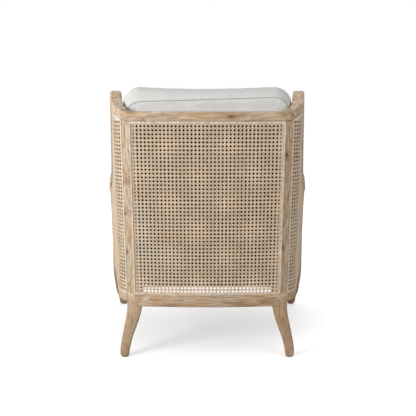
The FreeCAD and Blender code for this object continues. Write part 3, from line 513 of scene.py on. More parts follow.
def grid_piece(columns, rows, place):
    """Bmesh of a grid whose corners of the unit square are moved to place(u, v)."""
    bm = bmesh.new()
    bmesh.ops.create_grid(bm, x_segments=columns, y_segments=rows, size=0.5)
    for vert in bm.verts:
        vert.co = place(vert.co.x + 0.5, vert.co.y + 0.5)
    bmesh.ops.recalc_face_normals(bm, faces=bm.faces)
    return bm


def rounding(t, edge):
    """Rise of a rounded edge, from 0 at t = 0 to 1 at t = edge and beyond."""
    return math.sqrt(max(0.0, 1.0 - (1.0 - min(1.0, t / edge)) ** 2))


def pillow(u, v, edge):
    """Fullness of a pad over the unit square, from 0 at its edges to 1 inside."""
    return math.prod(rounding(t, edge) for t in (u, 1.0 - u, v, 1.0 - v))


def mirrored(place, sign):
    """The same place function on the +X side (sign 1) or the -X side (sign -1)."""
    def other(*spot):
        point = place(*spot)
        return Vector((point.x * sign, point.y, point.z))
    return other


SIDES = (("left", 1.0), ("right", -1.0))


def both(*names):
    """Names of the left and the right node of each pair."""
    return [f"{name}_{side}" for name in names for side, _ in SIDES]


# Stage

FLOOR_HALF = 14.0
WORLD_TINT = (1.0, 0.995, 0.99, 1.0)
WORLD_STRENGTH = 0.45
LIGHT_TINT = (1.0, 0.99, 0.975)
# Name, place, size, power and target of each area light
LIGHTS = (
    ("key_light", (3.1, 2.5, 1.5), 1.6, 112.0, (0.0, 0.0, 0.6)),
    ("top_light", (0.4, 0.2, 3.0), 2.2, 3.0, (0.0, 0.0, 0.4)),
    ("front_light", (-1.2, -2.8, 1.8), 1.8, 16.0, (0.0, 0.0, 0.5)),
    ("side_fill", (-2.8, 2.4, 1.0), 1.6, 21.0, (0.0, 0.0, 0.5)),
)
# The camera stands behind the chair and looks down on it
CAMERA_X = -0.0027
CAMERA_BEHIND = 2.3632
CAMERA_HEIGHT = 0.8994
CAMERA_DOWN = 9.16
FOCAL_LENGTH = 60.58
SENSOR_WIDTH = 36.0


def mixed_shaders(tree, factor, a, b):
    return add_node(tree, "MixShader", {0: factor, 1: a, 2: b}).outputs[0]


def add_world(scene):
    """World that is white to look at and lights the chair less strongly."""
    scene.world = bpy.data.worlds.new("Studio")
    scene.world.use_nodes = True
    tree = scene.world.node_tree
    tree.nodes.clear()
    path = add_node(tree, "LightPath").outputs
    seen = path["Is Camera Ray"]
    for ray in ("Is Glossy Ray", "Is Transmission Ray"):
        seen = add_node(tree, "Math", {0: seen, 1: path[ray]}, operation="MAXIMUM").outputs[0]
    fill = add_node(tree, "Background", {"Color": WORLD_TINT, "Strength": WORLD_STRENGTH})
    white = add_node(tree, "Background", {"Color": WHITE, "Strength": 1.0})
    sky = mixed_shaders(tree, seen, fill.outputs[0], white.outputs[0])
    add_node(tree, "OutputWorld", {"Surface": sky})


def floor_material():
    """Floor that is white in the open and keeps a soft shade under the chair."""
    paint = empty_material("studio floor")
    tree = paint.node_tree
    matt = add_node(tree, "BsdfPrincipled", {
        "Base Color": (0.40, 0.40, 0.40, 1.0), "Roughness": 1.0, "Specular IOR Level": 0.0})
    pale = add_node(tree, "BsdfDiffuse", {"Color": (0.76, 0.76, 0.76, 1.0)})
    near = add_node(tree, "AmbientOcclusion", {"Distance": 0.55}, samples=8)
    glow = add_node(tree, "Emission", {
        "Color": WHITE, "Strength": band(tree, near.outputs["AO"], 0.45, 0.95, 0.50, 0.69)})
    bright = add_node(tree, "AddShader", {0: pale.outputs[0], 1: glow.outputs[0]})
    seen = add_node(tree, "LightPath").outputs["Is Camera Ray"]
    total = mixed_shaders(tree, seen, matt.outputs[0], bright.outputs[0])
    add_node(tree, "OutputMaterial", {"Surface": total})
    return paint


class ARMCHAIR_OT_stage(bpy.types.Operator):
    """Add the floor, the lights, the world and the camera"""
    bl_idname = "armchair.stage"
    bl_label = "Stage"

    def execute(self, context):
        scene = context.scene
        scene.view_settings.view_transform = "Standard"
        add_world(scene)

        bm = bmesh.new()
        bmesh.ops.create_grid(bm, x_segments=1, y_segments=1, size=FLOOR_HALF)
        mesh = bpy.data.meshes.new("studio_floor")
        bm.to_mesh(mesh)
        bm.free()
        mesh.materials.append(floor_material())
        floor = bpy.data.objects.new("studio_floor", mesh)
        scene.collection.objects.link(floor)

        for name, place, size, power, target in LIGHTS:
            lamp = bpy.data.lights.new(name, "AREA")
            lamp.energy = power
            lamp.size = size
            lamp.color = LIGHT_TINT
            holder = bpy.data.objects.new(name, lamp)
            scene.collection.objects.link(holder)
            holder.location = place
            holder.rotation_euler = (Vector(target) - Vector(place)).to_track_quat("-Z", "Y").to_euler()

        lens = bpy.data.cameras.new("studio_camera")
        lens.sensor_width = SENSOR_WIDTH
        lens.lens = FOCAL_LENGTH
        camera = bpy.data.objects.new("studio_camera", lens)
        scene.collection.objects.link(camera)
        camera.location = (CAMERA_X, sizes().back_line + CAMERA_BEHIND, CAMERA_HEIGHT)
        camera.rotation_euler = (math.radians(90.0 - CAMERA_DOWN), 0.0, math.radians(180.0))
        scene.camera = camera
        return {"FINISHED"}


class ARMCHAIR_OT_timber(bpy.types.Operator):
    """Give the wooden frame, the reed, the screws and the glides their finishes"""
    bl_idname = "armchair.timber"
    bl_label = "Timber"

    def execute(self, context):
        finishes = {
            "limed oak across": ["crest_rail", "bottom_back_rail", "front_seat_rail"],
            "limed oak posts": both("rear_leg"),
            "limed oak upright": both("front_leg", "wing_stile"),
            "limed oak lengthwise": both("wing_rail", "arm_rail", "side_seat_rail"),
            "frame timber across": [
                "seat_rear_board", "seat_front_board", "inner_back_rail", "corner_blocks", "frame_dowels"],
            "frame timber lengthwise": both("seat_side_board"),
            "whitened reed": ["back_spline", *both("side_spline")],
            "plated steel": ["block_screws"],
            "moulded glide": ["foot_glides"],
        }
        for finish, names in finishes.items():
            for name in names:
                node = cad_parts[name]
                node.data.materials.clear()
                node.data.materials.append(material(finish))
        return {"FINISHED"}


# Woven cane, drawn flat in cells of the weave and then laid on the wall.
# Holes lie on whole numbers. Pairs of strands run halfway between them, and the diagonals cross on the pairs.

PAIR_SPREAD = 0.100
CROSS_STOPS = (0.0, 0.5 - PAIR_SPREAD, 0.5 + PAIR_SPREAD)
DIAGONAL_STOPS = (0.18, 0.32, 0.68, 0.82)
SHORTEST_DIAGONAL = 0.6
UPPER_SHARE = 0.60
# Height of the lowest row of holes, and how far cut ends stay inside the cane's edge or pass it at the crest
FIRST_ROW = 0.2271
CUT_INSIDE = 0.001
CREST_LAP = 0.004
# Side cane: its first column of holes, start and end along the wall, height, and depth ahead of the back line
SIDE_FIRST = 0.0145
SIDE_START = 0.0008
SIDE_REACH = 0.575
SIDE_TOP = 0.900
SIDE_FRONT = 0.530


def lay_strand(bm, scratch, tone, stations, half_width, thickness, path):
    """One flat strand through stations; path gives the place of a station, side and lift."""
    strand = bmesh.new()
    layer = strand.verts.layers.float.new("strand")
    bmesh.ops.create_cube(strand, size=1.0)
    steps = len(stations) - 1
    long_edges = [e for e in strand.edges if abs(e.verts[0].co.x - e.verts[1].co.x) > 0.5]
    if steps > 1:
        bmesh.ops.subdivide_edges(strand, edges=long_edges, cuts=steps - 1, use_grid_fill=True)
    for vert in strand.verts:
        index = round((vert.co.x + 0.5) * steps)
        upper = vert.co.z > 0.0
        side = math.copysign(half_width * (UPPER_SHARE if upper else 1.0), vert.co.y)
        vert.co = path(stations[index], side, upper * thickness)
        vert[layer] = tone
    strand.to_mesh(scratch)
    strand.free()
    bm.from_mesh(scratch)


def stations_between(low, high, stops):
    """Places of a strand's turns between two cells, with its cut ends."""
    found = [low]
    for cell in range(math.floor(low), math.ceil(high) + 1):
        found += [cell + stop for stop in stops if low < cell + stop < high]
    return found + [high]


def pair_lift(stop, first):
    """Lift of a strand of a pair on its way over one crossing strand and under the next."""
    part = stop - math.floor(stop)
    if abs(part - CROSS_STOPS[1]) < 0.01:
        return 0.5 if first else -0.5
    if abs(part - CROSS_STOPS[2]) < 0.01:
        return -0.5 if first else 0.5
    return 0.0


def diagonal_lift(stop, sign):
    part = abs(stop - round(stop))
    return sign if part < 0.25 else -sign


def pairs_between(low, high):
    """Middles of the paired strands between two cells, and which of the pair each one is."""
    for cell in range(math.floor(low), math.ceil(high) + 1):
        for first in (True, False):
            middle = cell + 0.5 + (-PAIR_SPREAD if first else PAIR_SPREAD)
            if low < middle < high:
                yield middle, first


def woven_panel(name, columns, rows, limit, place):
    """Six-way woven cane over whole cells (first, last) of columns and rows, laid by place(u, v, depth)."""
    s = sizes()
    half = s.strand_width / s.weave_pitch / 2
    thick = s.strand_thickness
    left, right = columns
    bottom, top = rows
    upright_stops = stations_between(bottom, top, CROSS_STOPS)
    across_stops = stations_between(left, right, CROSS_STOPS)
    groups = {"uprights": [], "crossings": [], "diagonals": []}
    for u, first in pairs_between(left, right):
        groups["uprights"].append((upright_stops, lambda t, w, d, u=u, first=first: (
            u + w, t, d + thick * pair_lift(t, first))))
    for v, first in pairs_between(bottom, top):
        groups["crossings"].append((across_stops, lambda t, w, d, v=v, first=first: (
            t, v - w, d + thick * pair_lift(t, not first))))
    slant = math.sqrt(0.5)
    for sign in (1, -1):
        ends = sorted((bottom * sign, top * sign))
        for cell in range(math.floor(left - ends[1]), math.ceil(right - ends[0]) + 1):
            offset = cell + 0.5
            low = max(left, offset + ends[0])
            high = min(right, offset + ends[1])
            if high - low > SHORTEST_DIAGONAL:
                groups["diagonals"].append((
                    stations_between(low, high, DIAGONAL_STOPS),
                    lambda t, w, d, offset=offset, sign=sign: (
                        t - w * slant * sign, (t - offset) * sign + w * slant,
                        d + thick * diagonal_lift(t, sign))))
    pieces = []
    for group, strands in groups.items():
        bm = bmesh.new()
        bm.verts.layers.float.new("strand")
        scratch = bpy.data.meshes.new(name)
        for number, (stations, path) in enumerate(strands):
            tone = 0.5 + 0.5 * math.sin(number * 12.9898 + len(group) * 4.1)
            lay_strand(bm, scratch, tone, stations, half, thick, path)
        bpy.data.meshes.remove(scratch)
        if limit is not None:
            outside = [f for f in bm.faces if all(not limit(v.co.x, v.co.y) for v in f.verts)]
            bmesh.ops.delete(bm, geom=outside, context="FACES")
        for vert in bm.verts:
            vert.co = place(*vert.co)
        pieces.append(finish_piece(bm, f"{name}_{group}", "natural cane"))
    return pieces


def row_height(v):
    """Height of a row of the weave, counted from the lowest row of holes."""
    return FIRST_ROW + v * sizes().row_pitch * math.cos(sizes().lean)


def row_at(height):
    """Row of the weave at a height."""
    return (height - FIRST_ROW) / (sizes().row_pitch * math.cos(sizes().lean))


class ARMCHAIR_OT_back_cane(bpy.types.Operator):
    """Weave the cane of the back"""
    bl_idname = "armchair.back_cane"
    bl_label = "Back cane"

    def execute(self, context):
        s = sizes()
        base = 2.0 * s.strand_thickness

        def place(u, v, depth):
            return back_point(u * s.weave_pitch, row_height(v), base - depth)

        side = (s.cane_half - CUT_INSIDE) / s.weave_pitch
        rows = (row_at(s.sill + CUT_INSIDE), row_at(s.crest_base + CREST_LAP))
        for piece in woven_panel("back_cane", (-side, side), rows, None, place):
            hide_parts("back_cane")
        return {"FINISHED"}


class ARMCHAIR_OT_side_cane(bpy.types.Operator):
    """Weave the cane of both sides"""
    bl_idname = "armchair.side_cane"
    bl_label = "Side cane"

    def execute(self, context):
        s = sizes()
        base = 2.0 * s.strand_thickness
        pitch = s.weave_pitch
        front = s.back_line - SIDE_FRONT
        line = frame_line()

        def inside(u, v):
            run = SIDE_FIRST + u * pitch
            height = row_height(v)
            return height < frame_height(line, run) and wall_point(run, height, 0.0).y > front

        def place(u, v, depth):
            return wall_point(SIDE_FIRST + u * pitch, row_height(v), base - depth)

        columns = ((SIDE_START - SIDE_FIRST) / pitch, (SIDE_REACH - SIDE_FIRST) / pitch)
        rows = (row_at(s.sill + CUT_INSIDE), row_at(SIDE_TOP))
        for side, sign in SIDES:
            for piece in woven_panel(f"side_cane_{side}", columns, rows, inside, mirrored(place, sign)):
                if sign < 0:
                    piece.data.flip_normals()
                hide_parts(f"side_cane_{side}")
        return {"FINISHED"}


# Linings and pads inside the cane

# The inner line keeps a little further from the arm towards its front
ARM_START = 0.462
ARM_LENGTH = 0.138
ARM_GROWTH = 0.0012
LINING_THICKNESS = 0.0009
LINING_LOW, LINING_HIGH = 0.2435, 0.8128
LINING_INSIDE = 0.0057
PAD_WIDTH = 0.498
PAD_LOW, PAD_HIGH = 0.288, 0.836
PAD_EDGE = 0.05
PAD_DEPTH = 0.0365
PAD_CROWN = 0.0165
PAD_THICKNESS = 0.012
SIDE_PAD_DEPTH = 0.0160
SIDE_PAD_EDGE = 0.022
SIDE_PAD_THICKNESS = 0.002
RIPPLE = 0.0007
RIPPLE_EDGE = 0.01


def inner_line(margin, start, end):
    """Line that runs below the wing and arm at a distance, between two places along the wall."""
    line = frame_line()
    points = []
    for before, here, after in zip(line, line[1:], line[2:]):
        way = (after - before).normalized()
        grown = margin + ARM_GROWTH * max(0.0, (here.x - ARM_START) / ARM_LENGTH)
        spot = here + Vector((way.y, -way.x)) * grown
        clear = min((spot - p).length for p in line) > grown * 0.98
        if clear and start <= spot.x <= end and (not points or spot.x > points[-1].x + 0.0003):
            points.append(spot)
    return points


def side_field(inset, base, margin, start, end, slope):
    """Function place(u, v, depth) under the wing and arm, in upright columns. The front edge slopes rearwards
    to the base, and depth(gap) is how much deeper a point lies at a distance from the edge."""
    line = inner_line(margin, start, end)
    line = [Vector((start, line[0].y))] + line + [Vector((end, line[-1].y - (end - line[-1].x) * 0.5))]
    marks = [0.0]
    for before, after in zip(line, line[1:]):
        marks.append(marks[-1] + (after - before).length)

    def column(u):
        mark = u * marks[-1]
        i = next((i for i in range(1, len(marks) - 1) if marks[i] >= mark), len(marks) - 1)
        return line[i - 1].lerp(line[i], (mark - marks[i - 1]) / (marks[i] - marks[i - 1]))

    def place(u, v, depth):
        top = column(u)
        height = base + (top.y - base) * v
        share = 1.0 - slope * (1.0 - v)
        run = start + (top.x - start) * share
        last = start + (end - start) * share
        spot = Vector((run, height))
        gap = min(min((spot - p).length for p in line), height - base, run - start, last - run)
        return wall_point(run, height, inset + depth(max(0.0, gap)))

    return place


class ARMCHAIR_OT_linings(bpy.types.Operator):
    """Add the dark linings behind the cane"""
    bl_idname = "armchair.linings"
    bl_label = "Linings"

    def execute(self, context):
        half = 0.2275

        def flat(u, v):
            height = LINING_LOW + (LINING_HIGH - LINING_LOW) * v
            slack = 0.0008 * math.sin(math.pi * u) * math.sin(math.pi * v)
            slack *= noise.noise(Vector((u * 6, v * 7, 1)))
            return Vector(((u - 0.5) * 2 * half, back_y(height) - LINING_INSIDE + slack, height))

        bm = grid_piece(40, 48, flat)
        piece = thick_piece(bm, "back_lining", "dark lining", LINING_THICKNESS)
        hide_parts("back_lining")
        field = side_field(0.010, 0.522, 0.0178, 0.0125, 0.520, 0.0)
        for side, sign in SIDES:
            bm = grid_piece(90, 30, mirrored(lambda u, v: field(u, v, lambda gap: 0.0), sign))
            area = sum(f.calc_area() for f in bm.faces)
            piece = thick_piece(bm, f"side_lining_{side}", "side lining", LINING_THICKNESS)
            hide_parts(f"side_lining_{side}")
        return {"FINISHED"}


class ARMCHAIR_OT_pads(bpy.types.Operator):
    """Upholster the inside of the back and sides"""
    bl_idname = "armchair.pads"
    bl_label = "Inside pads"

    def execute(self, context):
        def back_face(u, v):
            height = PAD_LOW + (PAD_HIGH - PAD_LOW) * v
            ahead = PAD_DEPTH + PAD_CROWN * pillow(u, v, PAD_EDGE)
            return Vector(((u - 0.5) * PAD_WIDTH, back_y(height) - ahead, height))

        bm = grid_piece(60, 64, back_face)
        piece = thick_piece(bm, "back_pad", "pale linen", PAD_THICKNESS, -1.0)
        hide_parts("back_pad")
        field = side_field(0.0165, 0.327, 0.0181, 0.0185, 0.5445, 0.020)
        for side, sign in SIDES:
            def swollen(u, v, sign=sign):
                ripple = RIPPLE * noise.noise(Vector((u * 9, v * 7, 3 * sign)))
                return field(u, v, lambda gap: (
                    SIDE_PAD_DEPTH * rounding(gap, SIDE_PAD_EDGE) + ripple * min(1.0, gap / RIPPLE_EDGE)))

            bm = grid_piece(130, 60, mirrored(swollen, sign))
            piece = thick_piece(bm, f"side_pad_{side}", "pale linen", SIDE_PAD_THICKNESS)
            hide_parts(f"side_pad_{side}")
        return {"FINISHED"}


# Seat support, in the level drawing of the seat

SEAT_REAR, SEAT_FRONT = 0.020, 0.545
BOARD_HALF = 0.011
STRAP_START, STRAP_END = 0.053, 0.556
STRAP_COUNT = 5
STRAP_WIDTH = 0.050
STRAP_THICKNESS = 0.0009
STRAP_RISE = 0.0006
STRAP_RAMP = 0.036
OUTER_ROW = 0.075
OUTER_COLUMN = 0.178
PLATFORM_LOW, PLATFORM_HIGH = 0.0085, 0.0150
PLATFORM_THICKNESS = 0.0050
PLATFORM_EDGE = 0.04
COVER_DEPTH = 0.0425
COVER_SAG = 0.0010
COVER_THICKNESS = 0.0006
COVER_FRONT = 0.553
BAND_AHEAD = 0.025
BAND_REACH = 0.343
BAND_BOW = (0.3665, 0.026)
BAND_SQUARENESS = 0.35


def seat_half(ahead):
    """Half width of the seat frame's middle line."""
    share = (ahead - SEAT_REAR) / (SEAT_FRONT - SEAT_REAR)
    return 0.250 + (0.3525 - 0.250) * share - BOARD_HALF


def strap_lift(at, crossings, over_first):
    """Lift of a strap that passes over and under the straps it crosses."""
    lift = 0.0
    for i, place in enumerate(crossings):
        near = max(0.0, 1.0 - (abs(at - place) / STRAP_RAMP) ** 4)
        lift += near * (1.0 if (i % 2 == 0) == over_first else -1.0)
    return lift


def squared(value):
    """Sine or cosine of a squarish ring."""
    return math.copysign(abs(value) ** BAND_SQUARENESS, value)


class ARMCHAIR_OT_seat_support(bpy.types.Operator):
    """Add the webbing, the platform pad, the dust cover and the linen band"""
    bl_idname = "armchair.seat_support"
    bl_label = "Seat support"

    def execute(self, context):
        matrix = seat_matrix()
        start, end = STRAP_START, STRAP_END
        length = end - BOARD_HALF - start
        spaces = STRAP_COUNT - 1
        rows = [start + OUTER_ROW + (length - 2 * OUTER_ROW) * i / spaces for i in range(STRAP_COUNT)]
        columns = [-OUTER_COLUMN + 2 * OUTER_COLUMN * i / spaces for i in range(STRAP_COUNT)]

        for name, places, crossings, lengthwise in (
            ("webbing_lengthwise", columns, rows, True), ("webbing_crosswise", rows, columns, False),
        ):
            bm = bmesh.new()
            for index, middle in enumerate(places):
                strip = bmesh.ops.create_grid(bm, x_segments=2, y_segments=90, size=0.5)
                for vert in strip["verts"]:
                    aside, along = middle + vert.co.x * STRAP_WIDTH, vert.co.y + 0.5
                    if lengthwise:
                        at = start + length * along
                        x, ahead, base = aside, at, 0.0009
                    else:
                        half = seat_half(middle) - 0.004
                        at = -half + 2 * half * along
                        x, ahead, base = at, aside, 0.0021
                    lift = strap_lift(at, crossings, (index % 2 == 0) == lengthwise) * STRAP_RISE
                    vert.co = matrix @ Vector((x, ahead, base + lift + 0.0001))
            bmesh.ops.recalc_face_normals(bm, faces=bm.faces)
            piece = thick_piece(bm, name, "jute webbing", STRAP_THICKNESS)
            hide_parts(name)

        def quilted(u, v):
            ahead = start + 0.001 + (end - 0.002 - start) * v
            half = seat_half(ahead) - 0.002
            height = PLATFORM_LOW + (PLATFORM_HIGH - PLATFORM_LOW) * pillow(u, v, PLATFORM_EDGE)
            return matrix @ Vector(((u - 0.5) * 2 * half, ahead, height))

        bm = grid_piece(60, 50, quilted)
        platform = thick_piece(bm, "seat_platform", "pale linen", PLATFORM_THICKNESS, -1.0)
        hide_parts("seat_platform")

        def stretched(u, v):
            ahead = min(start - 0.020 + (end + 0.018 - start) * v, COVER_FRONT)
            half = seat_half(ahead) + 0.002
            sag = -COVER_SAG * math.sin(math.pi * u) * math.sin(math.pi * v)
            return matrix @ Vector(((u - 0.5) * 2 * half, ahead, -COVER_DEPTH + sag))

        bm = grid_piece(50, 40, stretched)
        area = sum(f.calc_area() for f in bm.faces)
        cover = thick_piece(bm, "dust_cover", "black dust cloth", COVER_THICKNESS)
        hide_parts("dust_cover")

        low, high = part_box("front_band")
        front = SEAT_FRONT + BAND_AHEAD - 0.009
        chord, rise = BAND_BOW
        radius = (chord ** 2 + rise ** 2) / (2 * rise)

        def band_face(u, v):
            """Round the front, top and rear of the band."""
            x = (u - 0.5) * 2 * BAND_REACH
            bow = math.sqrt(radius * radius - x * x) - (radius - rise)
            angle = v * 2 * math.pi
            ahead = front - 0.008 + bow + squared(math.cos(angle)) * 0.0078
            height = (low.z + high.z) / 2 + squared(math.sin(angle)) * ((high.z - low.z) / 2 - 0.0003)
            return Vector((x, sizes().back_line - ahead, height))

        bm = grid_piece(60, 40, band_face)
        bmesh.ops.remove_doubles(bm, verts=bm.verts, dist=0.00005)
        bmesh.ops.holes_fill(bm, edges=[e for e in bm.edges if e.is_boundary])
        bmesh.ops.recalc_face_normals(bm, faces=bm.faces)
        piece = finish_piece(bm, "front_band", "pale linen")
        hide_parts("front_band")
        return {"FINISHED"}


# Cushions, made level in their own space (X across, Y along, Z through) and then put in place

CORNER = 0.045
BOX_CUTS = 24
VOXEL = 0.007
CLOTH_FRAMES = 20
CLOTH = {
    "quality": 6, "mass": 0.4, "tension_stiffness": 12.0, "compression_stiffness": 8.0,
    "shear_stiffness": 6.0, "bending_stiffness": 0.6, "use_pressure": True, "uniform_pressure_force": 4.0,
    "vertex_group_mass": "seams", "pin_stiffness": 1.0,
}
SEAM_POINTS = 240
SEAM_RADIUS = 0.0013
SEAM_OUT = 0.0004
SEAM_HOLD = 0.008
SEAM_FOLD = 0.012
FOLD_DEPTH = 0.0016
CELL = 0.03
CROWN_HEIGHT = 0.014


def clamp(value, limit):
    return max(-limit, min(limit, value))


def corner_middle(half, x, y):
    """Nearest point of the inner rectangle round which the corners turn."""
    return Vector((clamp(x, half.x - CORNER), clamp(y, half.y - CORNER)))


def rounded_box(half):
    """Box with rounded plan corners, divided for shaping."""
    bm = bmesh.new()
    bmesh.ops.create_cube(bm, size=2.0)
    bmesh.ops.subdivide_edges(bm, edges=bm.edges[:], cuts=BOX_CUTS, use_grid_fill=True)
    for vert in bm.verts:
        p = Vector((vert.co.x * half.x, vert.co.y * half.y, vert.co.z * half.z))
        core = corner_middle(half, p.x, p.y)
        out = p.xy - core
        if out.length > 1e-9:
            p.xy = core + out.normalized() * max(abs(out.x), abs(out.y))
        vert.co = p
    bmesh.ops.recalc_face_normals(bm, faces=bm.faces)
    return bm


def outline_point(half, angle):
    """Point of the rounded rectangle that is a cushion's outline, by angle."""
    way = Vector((math.cos(angle), math.sin(angle)))
    low, high = 0.0, 2.0 * (half.x + half.y)
    for _ in range(30):
        middle = (low + high) / 2
        p = way * middle
        near = (p - corner_middle(half, p.x, p.y)).length <= CORNER
        inside = near and abs(p.x) <= half.x and abs(p.y) <= half.y
        low, high = (middle, high) if inside else (low, middle)
    return way * low


def face_fullness(across, along):
    """Fullness of a cushion's face, from 0 at its edges to 1 in the middle."""
    return max(0.0, 1 - across ** 2) ** 0.8 * max(0.0, 1 - along ** 2) ** 0.8


def puff(piece, cap, held):
    """Swell the piece with cloth pressure, no further than cap; held(point) is how firmly a seam holds it."""
    remesh = piece.modifiers.new("Voxels", "REMESH")
    remesh.mode = "VOXEL"
    remesh.voxel_size = VOXEL
    apply_modifiers(piece)
    start = [v.co.copy() for v in piece.data.vertices]
    group = piece.vertex_groups.new(name="seams")
    for i, point in enumerate(start):
        weight = held(point)
        if weight > 0.0:
            group.add([i], weight, "REPLACE")
    settings = piece.modifiers.new("Cloth", "CLOTH").settings
    for name, value in CLOTH.items():
        setattr(settings, name, value)
    settings.effector_weights.gravity = 0.0
    scene = bpy.context.scene
    for number in range(1, CLOTH_FRAMES + 1):
        scene.frame_set(number)
    graph = bpy.context.evaluated_depsgraph_get()
    moved = [v.co.copy() for v in piece.evaluated_get(graph).data.vertices]
    piece.modifiers.clear()
    piece.vertex_groups.clear()
    for vert, a, b in zip(piece.data.vertices, start, moved):
        step = b - a
        if step.length > cap:
            step *= cap / step.length
        vert.co = a + step
    scene.frame_set(1)


def cord_mesh(name, points):
    """Mesh of a closed round cord through points."""
    curve = bpy.data.curves.new(name, "CURVE")
    curve.dimensions = "3D"
    curve.bevel_depth = SEAM_RADIUS
    curve.bevel_resolution = 2
    spline = curve.splines.new("NURBS")
    spline.points.add(len(points) - 1)
    for target, p in zip(spline.points, points):
        target.co = (*p, 1.0)
    spline.use_cyclic_u = True
    spline.order_u = 3
    holder = bpy.data.objects.new(f"{name}_holder", curve)
    bpy.context.scene.collection.objects.link(holder)
    graph = bpy.context.evaluated_depsgraph_get()
    mesh = bpy.data.meshes.new_from_object(holder.evaluated_get(graph), depsgraph=graph)
    bpy.data.objects.remove(holder)
    return mesh


def make_cushion(name, half, shape, matrix, cap, room, rest_z, nodes):
    """Boxed cushion with seams round both of its panels, on the body of its name. shape(point) draws the
    plain box into its form, cap is how far its faces may swell, and room(point) is the half width it has."""
    bm = rounded_box(half)
    for vert in bm.verts:
        vert.co = shape(vert.co)
    piece = finish_piece(bm, name, "pale linen", name)

    def ring(level):
        flats = [outline_point(half, 2 * math.pi * i / SEAM_POINTS) for i in range(SEAM_POINTS)]
        return [shape(Vector((*flat, level))) for flat in flats]

    rings = {"lower": ring(-half.z), "upper": ring(half.z)}
    steps = (-1, 0, 1)
    cells = {}
    for p in rings["lower"] + rings["upper"]:
        x, y, z = (int(c // CELL) for c in p)
        for near in [(x + dx, y + dy, z + dz) for dx in steps for dy in steps for dz in steps]:
            cells.setdefault(near, []).append(p)

    def seam_distance(point):
        points = cells.get(tuple(int(c // CELL) for c in point), [Vector((9, 9, 9))])
        return min((point - p).length for p in points)

    puff(piece, cap, lambda p: max(0.0, 1.0 - seam_distance(p) / SEAM_HOLD))
    for vert in piece.data.vertices:
        p = vert.co
        soft = noise.noise(p * 9.0) * 0.0016 + noise.noise(p * 28.0) * 0.0006
        p += p.normalized() * soft
        p.z = max(p.z, rest_z)
    smooth = piece.modifiers.new("Rounding", "SUBSURF")
    smooth.levels = smooth.render_levels = 1
    apply_modifiers(piece)
    for vert in piece.data.vertices:
        gap = seam_distance(vert.co)
        if gap < SEAM_FOLD:
            inward = Vector((-vert.co.x / half.x, -vert.co.y / half.y, -vert.co.z / half.z)).normalized()
            vert.co += inward * FOLD_DEPTH * (1.0 - gap / SEAM_FOLD) ** 2
        vert.co.z = max(vert.co.z, rest_z)
        vert.co.x = clamp(vert.co.x, room(vert.co))
    for level, points in rings.items():
        snapped = []
        for p in points:
            _, where, normal, _ = piece.closest_point_on_mesh(p)
            snapped.append(where + normal * SEAM_OUT)
        mesh = cord_mesh(f"{name}_seam", snapped)
        mesh.transform(matrix)
        mesh.materials.clear()
        # Painted shade: the seam cords are darker linen
        mesh.materials.append(material("linen seam shade"))
        mesh.shade_smooth()
        seam = bpy.data.objects.new(f"{name}_seam_{level}", mesh)
        bpy.context.scene.collection.objects.link(seam)
        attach(seam, name)
    piece.data.transform(matrix)
    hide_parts(*nodes)


class ARMCHAIR_OT_seat_cushion(bpy.types.Operator):
    """Sew and fill the seat cushion"""
    bl_idname = "armchair.seat_cushion"
    bl_label = "Seat cushion"

    def execute(self, context):
        front = SEAT_FRONT + 0.026 + BAND_AHEAD
        rear = front - 0.552
        thickness = 0.138
        half = Vector((0.300, (front - rear) / 2 - 0.012, thickness / 2 - 0.003))
        base = 0.0153

        def shape(p):
            across, along, level = p.x / half.x, p.y / half.y, p.z / half.z
            width = (0.292 + 0.026 * along) / half.x
            side = max(0.0, 1 - level ** 2)
            draw = 0.006 * (1 - min(1.0, along ** 2))
            x = p.x * width + math.copysign(0.009 * side - draw, p.x) * abs(across) ** 5
            y = p.y + 0.007 * side * along ** 5
            return Vector((x, y, p.z + CROWN_HEIGHT * face_fullness(across, along) * max(0.0, level)))

        matrix = seat_matrix() @ Matrix.Translation((0.0, (rear + front) / 2, base + thickness / 2 + 0.001))
        make_cushion("seat_cushion", half, shape, matrix, 0.008, lambda p: 0.5, -thickness / 2 - 0.0005,
                     ["seat_cushion_cover", "seat_cushion_core"])
        return {"FINISHED"}


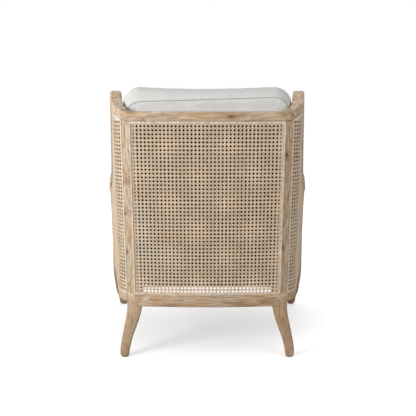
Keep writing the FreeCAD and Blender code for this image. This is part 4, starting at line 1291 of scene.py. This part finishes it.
class ARMCHAIR_OT_back_cushion(bpy.types.Operator):
    """Sew and fill the back cushion"""
    bl_idname = "armchair.back_cushion"
    bl_label = "Back cushion"

    def execute(self, context):
        s = sizes()
        thickness = 0.124
        base, top = 0.452, 0.8872
        length = (top - base) / math.cos(s.lean)
        half = Vector((0.268, length / 2 - 0.002, thickness / 2 - 0.003))
        up = Vector((0.0, math.sin(s.lean), math.cos(s.lean)))
        forward = Vector((0.0, -math.cos(s.lean), math.sin(s.lean)))
        height = base + (top - base) / 2
        centre = Vector((0.0, back_y(height) - 0.0553, height)) + forward * (thickness / 2)

        def shape(p):
            across, along, level = p.x / half.x, p.y / half.y, p.z / half.z
            side = max(0.0, 1 - level ** 2)
            draw = 0.005 * (1 - min(1.0, along ** 2))
            x = p.x + math.copysign(0.021 * side - draw, p.x) * abs(across) ** 5
            rise = max(0.0, along) ** 5 * (0.027 + 0.0085 * across + 0.0085 * across ** 2) * side
            drop = max(0.0, -along) ** 5 * 0.006 * side
            slump = -0.0085 * across * max(0.0, along) ** 2
            return Vector((x, p.y + rise - drop + slump,
                           p.z + CROWN_HEIGHT * face_fullness(across, along) * max(0.0, level)))

        def room(p):
            """Half width that the wings and side pads leave at a depth of the cushion."""
            depth = p.z + thickness / 2
            return min(0.2690 + 0.485 * depth, 0.2752 + 0.17 * depth)

        matrix = Matrix((
            (1.0, 0.0, 0.0, centre.x),
            (0.0, up.y, forward.y, centre.y),
            (0.0, up.z, forward.z, centre.z),
            (0.0, 0.0, 0.0, 1.0),
        ))
        make_cushion("back_cushion", half, shape, matrix, 0.012, room, -thickness / 2 - 0.0005,
                     ["back_cushion_cover", "back_cushion_core"])
        return {"FINISHED"}


class ARMCHAIR_PT_panel(bpy.types.Panel):
    """Sizes, colours and steps of the armchair"""
    bl_idname = "ARMCHAIR_PT_panel"
    bl_label = "Armchair"
    bl_space_type = "VIEW_3D"
    bl_region_type = "UI"
    bl_category = "Armchair"

    def draw(self, context):
        for group in (context.scene.chair_sizes, context.scene.chair_colours):
            box = self.layout.box()
            for name in group.bl_rna.properties.keys():
                if name not in ("rna_type", "name"):
                    box.prop(group, name)
        for step in STEPS:
            self.layout.operator(step.bl_idname)


STEPS = (
    ARMCHAIR_OT_stage, ARMCHAIR_OT_timber, ARMCHAIR_OT_back_cane, ARMCHAIR_OT_side_cane, ARMCHAIR_OT_linings,
    ARMCHAIR_OT_pads, ARMCHAIR_OT_seat_support, ARMCHAIR_OT_seat_cushion, ARMCHAIR_OT_back_cushion,
)
CLASSES = (ChairSizes, ChairColours, ARMCHAIR_PT_panel) + STEPS


def register():
    for item in CLASSES:
        bpy.utils.register_class(item)
    bpy.types.Scene.chair_sizes = PointerProperty(type=ChairSizes)
    bpy.types.Scene.chair_colours = PointerProperty(type=ChairColours)


def unregister():
    del bpy.types.Scene.chair_colours
    del bpy.types.Scene.chair_sizes
    for item in reversed(CLASSES):
        bpy.utils.unregister_class(item)


def main():
    register()
    bpy.ops.armchair.stage()
    bpy.ops.armchair.timber()
    bpy.ops.armchair.back_cane()
    bpy.ops.armchair.side_cane()
    bpy.ops.armchair.linings()
    bpy.ops.armchair.pads()
    bpy.ops.armchair.seat_support()
    bpy.ops.armchair.seat_cushion()
    bpy.ops.armchair.back_cushion()


if __name__ == "__main__":
    main()
